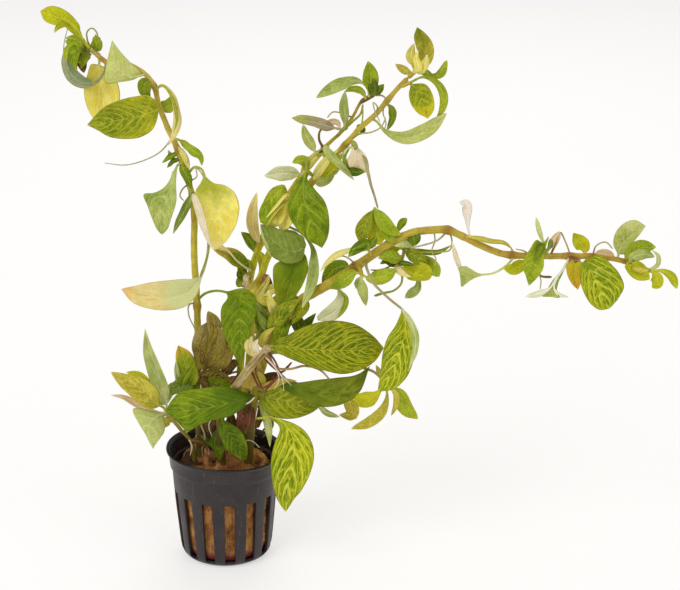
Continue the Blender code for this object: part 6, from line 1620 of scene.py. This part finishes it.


# %% [markdown]
# The plastic is a dark warm grey, half matt. Its moulded skin has faint clouds, fine scratches and dust,
# and its lip is painted darker, as painted shade.

# %% Finish the pot
def pot_finish():
    """Colour = two dark greys by a cloud, pale scratches and dust by finer noises, and painted shade on the
    lip.
    """
    paint = Paint("pot_plastic", 0.42, Specular_IOR_Level=0.4)
    place = paint.place()
    cloud = paint.noise(place, 90, 3)
    dust = paint.noise(place, 900, 4)
    stretched = paint.add("ShaderNodeMapping", {}, Vector=place, Scale=(900, 900, 120)).outputs[0]
    scratch = paint.noise(stretched, 1.0, 2)
    grey = paint.mix(paint.step(cloud, 0.3, 0.7), colour("#221c1c"), colour("#322928"))
    worn = paint.mix(paint.step(scratch, 0.62, 0.8, 0.0, 0.35), grey, colour("#6c6464"))
    dusty = paint.mix(paint.step(dust, 0.6, 0.8, 0.0, 0.3), worn, colour("#7c7068"))
    z = paint.split(place)[2]
    # Painted shade: the lip is painted near-black towards its top edge.
    lip = paint.mix(paint.step(z, 51 * MM, 52.4 * MM, 0.0, 0.75), dusty, colour("#141010"))
    paint.relief(paint.sum("MULTIPLY_ADD", cloud, 1.5, paint.times(dust, 0.15)), 0.5, 0.5 * MM)
    paint.done(lip, paint.step(cloud, 0.3, 0.7, 0.36, 0.52))


pot_finish()
pot = add_piece(cleaned(make_pot()), "pot")
pot.data.materials.append(FINISHES["pot_plastic"])
edge = pot.modifiers.new("moulded edges", "BEVEL")
edge.width = 0.28 * MM
edge.segments = 2
edge.limit_method = "ANGLE"
edge.angle_limit = math.radians(50)
edge.harden_normals = False
print("pot:", len(pot.data.polygons), "faces")

# %% [markdown]
# ## The rockwool
# The plug is spun stone fibre: tan, brown where it is wet, with upright fibres at the sides and a crumbled
# top. Its body is a turned form roughened by noise at several sizes. Several hundred short fibres, each a
# tiny three-sided tube, lie along its sides and stand out of its top.

# %% Make the rockwool
# Section of the plug from its foot's middle to its top's middle, as (radius, height) in millimetres
PLUG = (
    (0, 1.7), (8, 1.7), (14.4, 1.8), (17.8, 2.2), (19.1, 3.6), (19.8, 6.7), (20.5, 14), (21.2, 24),
    (21.9, 34), (21.9, 40), (21.5, 44), (20.2, 46.2), (17, 47), (13, 47.4), (8, 47.8), (3, 48.2), (0, 48.3),
)
# Its points up the side
PLUG_SIDE = slice(2, 9)
PLUG_ROWS = 150
PLUG_COLUMNS = 180
# The plug is crumbled from this height up, fully so after the fade
CRUMBLED_FROM = 43 * MM
CRUMBLED_FADE = 3 * MM
# How far the side is drawn in, in millimetres, so that its ripples stay within the pot
INWARD = 0.3
FIBRES = 900
# Share of the fibres that stand on top, and where these start
ON_TOP = 0.55
TOP_RADIUS = 19.5 * MM
TOP_HEIGHT = 46.4 * MM
FIBRE_RINGS = 6
FIBRE_SIDES = 3
FIBRE_RADIUS = 0.09 * MM


def plug_grid():
    """Turned section, pushed out by ripples: upright grooves at the side, crumbs on top."""
    radius, height = at_shares(smooth_path(PLUG) * MM, np.linspace(0, 1, PLUG_ROWS)).T
    points = turned(radius, height, np.linspace(0, 2 * math.pi, PLUG_COLUMNS, endpoint=False))
    on_top = np.clip((height - CRUMBLED_FROM) / CRUMBLED_FADE, 0, 1)[:, None]
    squeezed = points * (1, 1, 0.15)
    groove = 0.22 * ripple(squeezed, 2.2 * MM, 1) + 0.16 * ripple(squeezed, MM, 2)
    crumb = 1.5 * ripple(points, 8 * MM, 3) + 0.5 * ripple(points, 2.6 * MM, 4)
    crumb = crumb + 0.3 * ripple(points, 1.2 * MM, 8)
    push = (groove - INWARD) * (1 - on_top) * MM * np.minimum(1, radius / (4 * MM))[:, None]
    points = points + unit(points * (1, 1, 0)) * push[..., None]
    slope = 0.06 * points[..., 1] - 0.1 * points[..., 0]
    points[..., 2] += (crumb * MM - 0.6 * MM + slope) * on_top
    return points


def fibre_lines(count, seed):
    """Points start + length (way t + bend t squared) of hairs that start on the plug, and their ways."""
    rng = np.random.default_rng(seed)
    top = rng.random(count) < ON_TOP
    turn = rng.uniform(0, 2 * math.pi, count)
    radius = TOP_RADIUS * np.sqrt(rng.random(count))
    height = np.where(top, TOP_HEIGHT, rng.uniform(8, 41, count) * MM)
    side_radius, side_height = (np.array(PLUG[PLUG_SIDE]) * MM).T
    radius = np.where(top, radius, np.interp(height, side_height, side_radius))
    start = np.column_stack((radius * np.cos(turn), radius * np.sin(turn), height))
    sideways = np.cross(unit(start * (1, 1, 0)), (0, 0, 1))
    lean = rng.normal(size=(count, 3))
    along_side = sideways * lean[:, :1] * 0.35 + (0, 0, 1)
    way = np.where(top[:, None], lean * (1, 1, 0.25) + (0, 0, 0.25), along_side)
    bend = rng.normal(size=(count, 3)) * 0.25
    length = np.where(top, rng.uniform(1.5, 5, count), rng.uniform(3, 10, count))[:, None, None] * MM
    t = np.linspace(0, 1, FIBRE_RINGS)[:, None]
    return start[:, None] + (unit(way)[:, None] * t + bend[:, None] * t * t) * length, way


def fibre_skins(count, seed):
    """Points and faces of hairs: rings of three points round each line, and a triangle at either end."""
    centre, way = fibre_lines(count, seed)
    side = unit(np.cross(way, (0.3, 0.5, 0.81)))
    other = unit(np.cross(way, side))
    corner = np.arange(FIBRE_SIDES)[:, None] * 2 * math.pi / FIBRE_SIDES
    ring = side[:, None] * np.cos(corner) + other[:, None] * np.sin(corner)
    thick = FIBRE_RADIUS * (1 - 0.6 * np.linspace(0, 1, FIBRE_RINGS))[:, None, None]
    points = centre[:, :, None] + ring[:, None] * thick
    quads = ring_quads(np.ones((FIBRE_RINGS - 1, FIBRE_SIDES), bool))
    last = (FIBRE_RINGS - 1) * FIBRE_SIDES
    ends = np.array(((2, 1, 0), (last, last + 1, last + 2)))
    shift = (np.arange(count) * FIBRE_RINGS * FIBRE_SIDES)[:, None, None]
    return points.reshape(-1, 3), (quads + shift).reshape(-1, 4), (ends + shift).reshape(-1, 3)


def make_rockwool():
    """The body and its fibres as one mesh."""
    grid = plug_grid()
    rows, columns = grid.shape[:2]
    body = ring_quads(np.ones((rows - 1, columns), bool))
    points, quads, ends = fibre_skins(FIBRES, 12)
    start = rows * columns
    mesh = bpy.data.meshes.new("rockwool_spun")
    faces = body.tolist() + (quads + start).tolist() + (ends + start).tolist()
    mesh.from_pydata(np.concatenate((grid.reshape(-1, 3), points)).tolist(), [], faces)
    return mesh


# %% [markdown]
# Dry wool is straw-coloured and wet wool is brown, so the colour is a cloud of straw, ochre and brown with
# fine upright streaks. Below, where water stands in the foot of the pot, it is dark red-brown. Painted
# shade darkens the middle of the plug as seen and lays near-black patches on its top.

# %% Finish the rockwool
def rockwool_finish():
    """Straw to brown by a cloud, painted shade in the middle as seen and in patches on top, upright
    streaks, and a wet red foot.
    """
    paint = Paint("rockwool_fibre", 0.9, Specular_IOR_Level=0.2)
    place = paint.place()
    x, y, z = paint.split(place)
    cloud = paint.noise(place, 160, 4)
    large = paint.noise(place, 85, 2)
    squeezed = paint.add("ShaderNodeMapping", {}, Vector=place, Scale=(1500, 1500, 130)).outputs[0]
    upright = paint.noise(squeezed, 1.0, 3)
    crumbs = paint.noise(place, 1400, 3)
    # Painted shade: the plug is darker in the middle as seen, and lighter towards the left and right.
    unshaded_sides = paint.step(paint.sum("ABSOLUTE", x), 12 * MM, 18 * MM)
    straw = paint.mix(unshaded_sides, colour("#bc8448"), colour("#e8ac60"))
    tan = paint.mix(paint.step(cloud, 0.35, 0.6), straw, colour("#945e34"))
    brown = paint.mix(paint.step(cloud, 0.56, 0.74), tan, colour("#543018"))
    streaked = paint.mix(paint.step(upright, 0.45, 0.75, 0.0, 0.5), brown, colour("#d0a058"))
    crumbled = paint.mix(paint.step(crumbs, 0.5, 0.75, 0.0, 0.45), streaked, colour("#4a2c14"))
    upper = paint.step(z, 42 * MM, 45 * MM)
    # Painted shade: near-black patches on the top, where the leaves and stems shade it.
    sunk = paint.times(upper, paint.step(large, 0.5, 0.6, 0.0, 0.9))
    painted_top_shade = paint.mix(sunk, crumbled, colour("#1c120c"))
    waterline = paint.sum("MULTIPLY_ADD", cloud, 6 * MM, z)
    wet = paint.mix(paint.step(waterline, 11 * MM, 7 * MM), painted_top_shade, colour("#742434"))
    paint.relief(paint.sum("ADD", upright, crumbs), 0.8, 0.5 * MM)
    paint.done(wet)


rockwool_finish()
rockwool = add_piece(cleaned(make_rockwool()), "rockwool")
rockwool.data.materials.append(FINISHES["rockwool_fibre"])
print("rockwool:", len(rockwool.data.polygons), "faces")

# %% [markdown]
# ## Floor and light
# The plant was photographed on white, in wide soft light, so the floor is a plain pale sheet, and three
# large lamps and a bright surrounding leave only a faint shadow.

# %% Floor and light
FLOOR_REACH = 6
FLOOR_GLOW = 0.54
NEAR_WHITE = (1, 0.99, 0.98, 1)
floor_mesh = bpy.data.meshes.new("floor")
corners = [(x * FLOOR_REACH, y * FLOOR_REACH, 0) for x, y in ((-1, -1), (1, -1), (1, 1), (-1, 1))]
floor_mesh.from_pydata(corners, [], [(0, 1, 2, 3)])
floor = bpy.data.objects.new("floor", floor_mesh)
bpy.context.scene.collection.objects.link(floor)
floor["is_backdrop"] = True
paint = Paint("floor_sheet", 0.8, Emission_Color=NEAR_WHITE, Emission_Strength=FLOOR_GLOW)
paint.done(paint.mix(paint.noise(paint.place(), 3, 1), colour("#bebcba"), colour("#bab8b6")))
floor_mesh.materials.append(FINISHES["floor_sheet"])

world = bpy.data.worlds.new("studio")
world.use_nodes = True
surrounding = world.node_tree.nodes["Background"]
surrounding.inputs["Color"].default_value = NEAR_WHITE
surrounding.inputs["Strength"].default_value = 0.5
bpy.context.scene.world = world


def lamp(name, place, size, power, target=(0.05, 0, 0.12)):
    """A square lamp turned to its target: tilt acos(z / length), heading atan2(x, -y) of the way back."""
    light = bpy.data.lights.new(name, "AREA")
    light.size = size
    light.energy = power
    made = bpy.data.objects.new(name, light)
    away = np.array(place) - np.array(target)
    made.location = place
    made.rotation_euler = (math.acos(away[2] / np.linalg.norm(away)), 0, math.atan2(away[0], -away[1]))
    bpy.context.scene.collection.objects.link(made)


lamp("key", (-0.7, -0.9, 1.3), 0.8, 9)
lamp("fill", (1.0, -0.8, 0.8), 1.0, 2.5)
lamp("back", (0.1, 1.0, 1.1), 1.0, 5)
bpy.context.scene.view_settings.view_transform = "Standard"
bpy.context.scene.view_settings.look = "None"

# %% [markdown]
# ## Measure and finish
# The box of the fine model is printed beside the box of the CAD model.

# %% Measure and finish
fine_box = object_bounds()
boxes = {
    "cad": [list(map(float, corner)) for corner in cad_box],
    "visual": [list(map(float, corner)) for corner in fine_box],
}
for name, box in boxes.items():
    print(name, "box in mm:", np.round(np.array(box) / MM, 1).tolist())
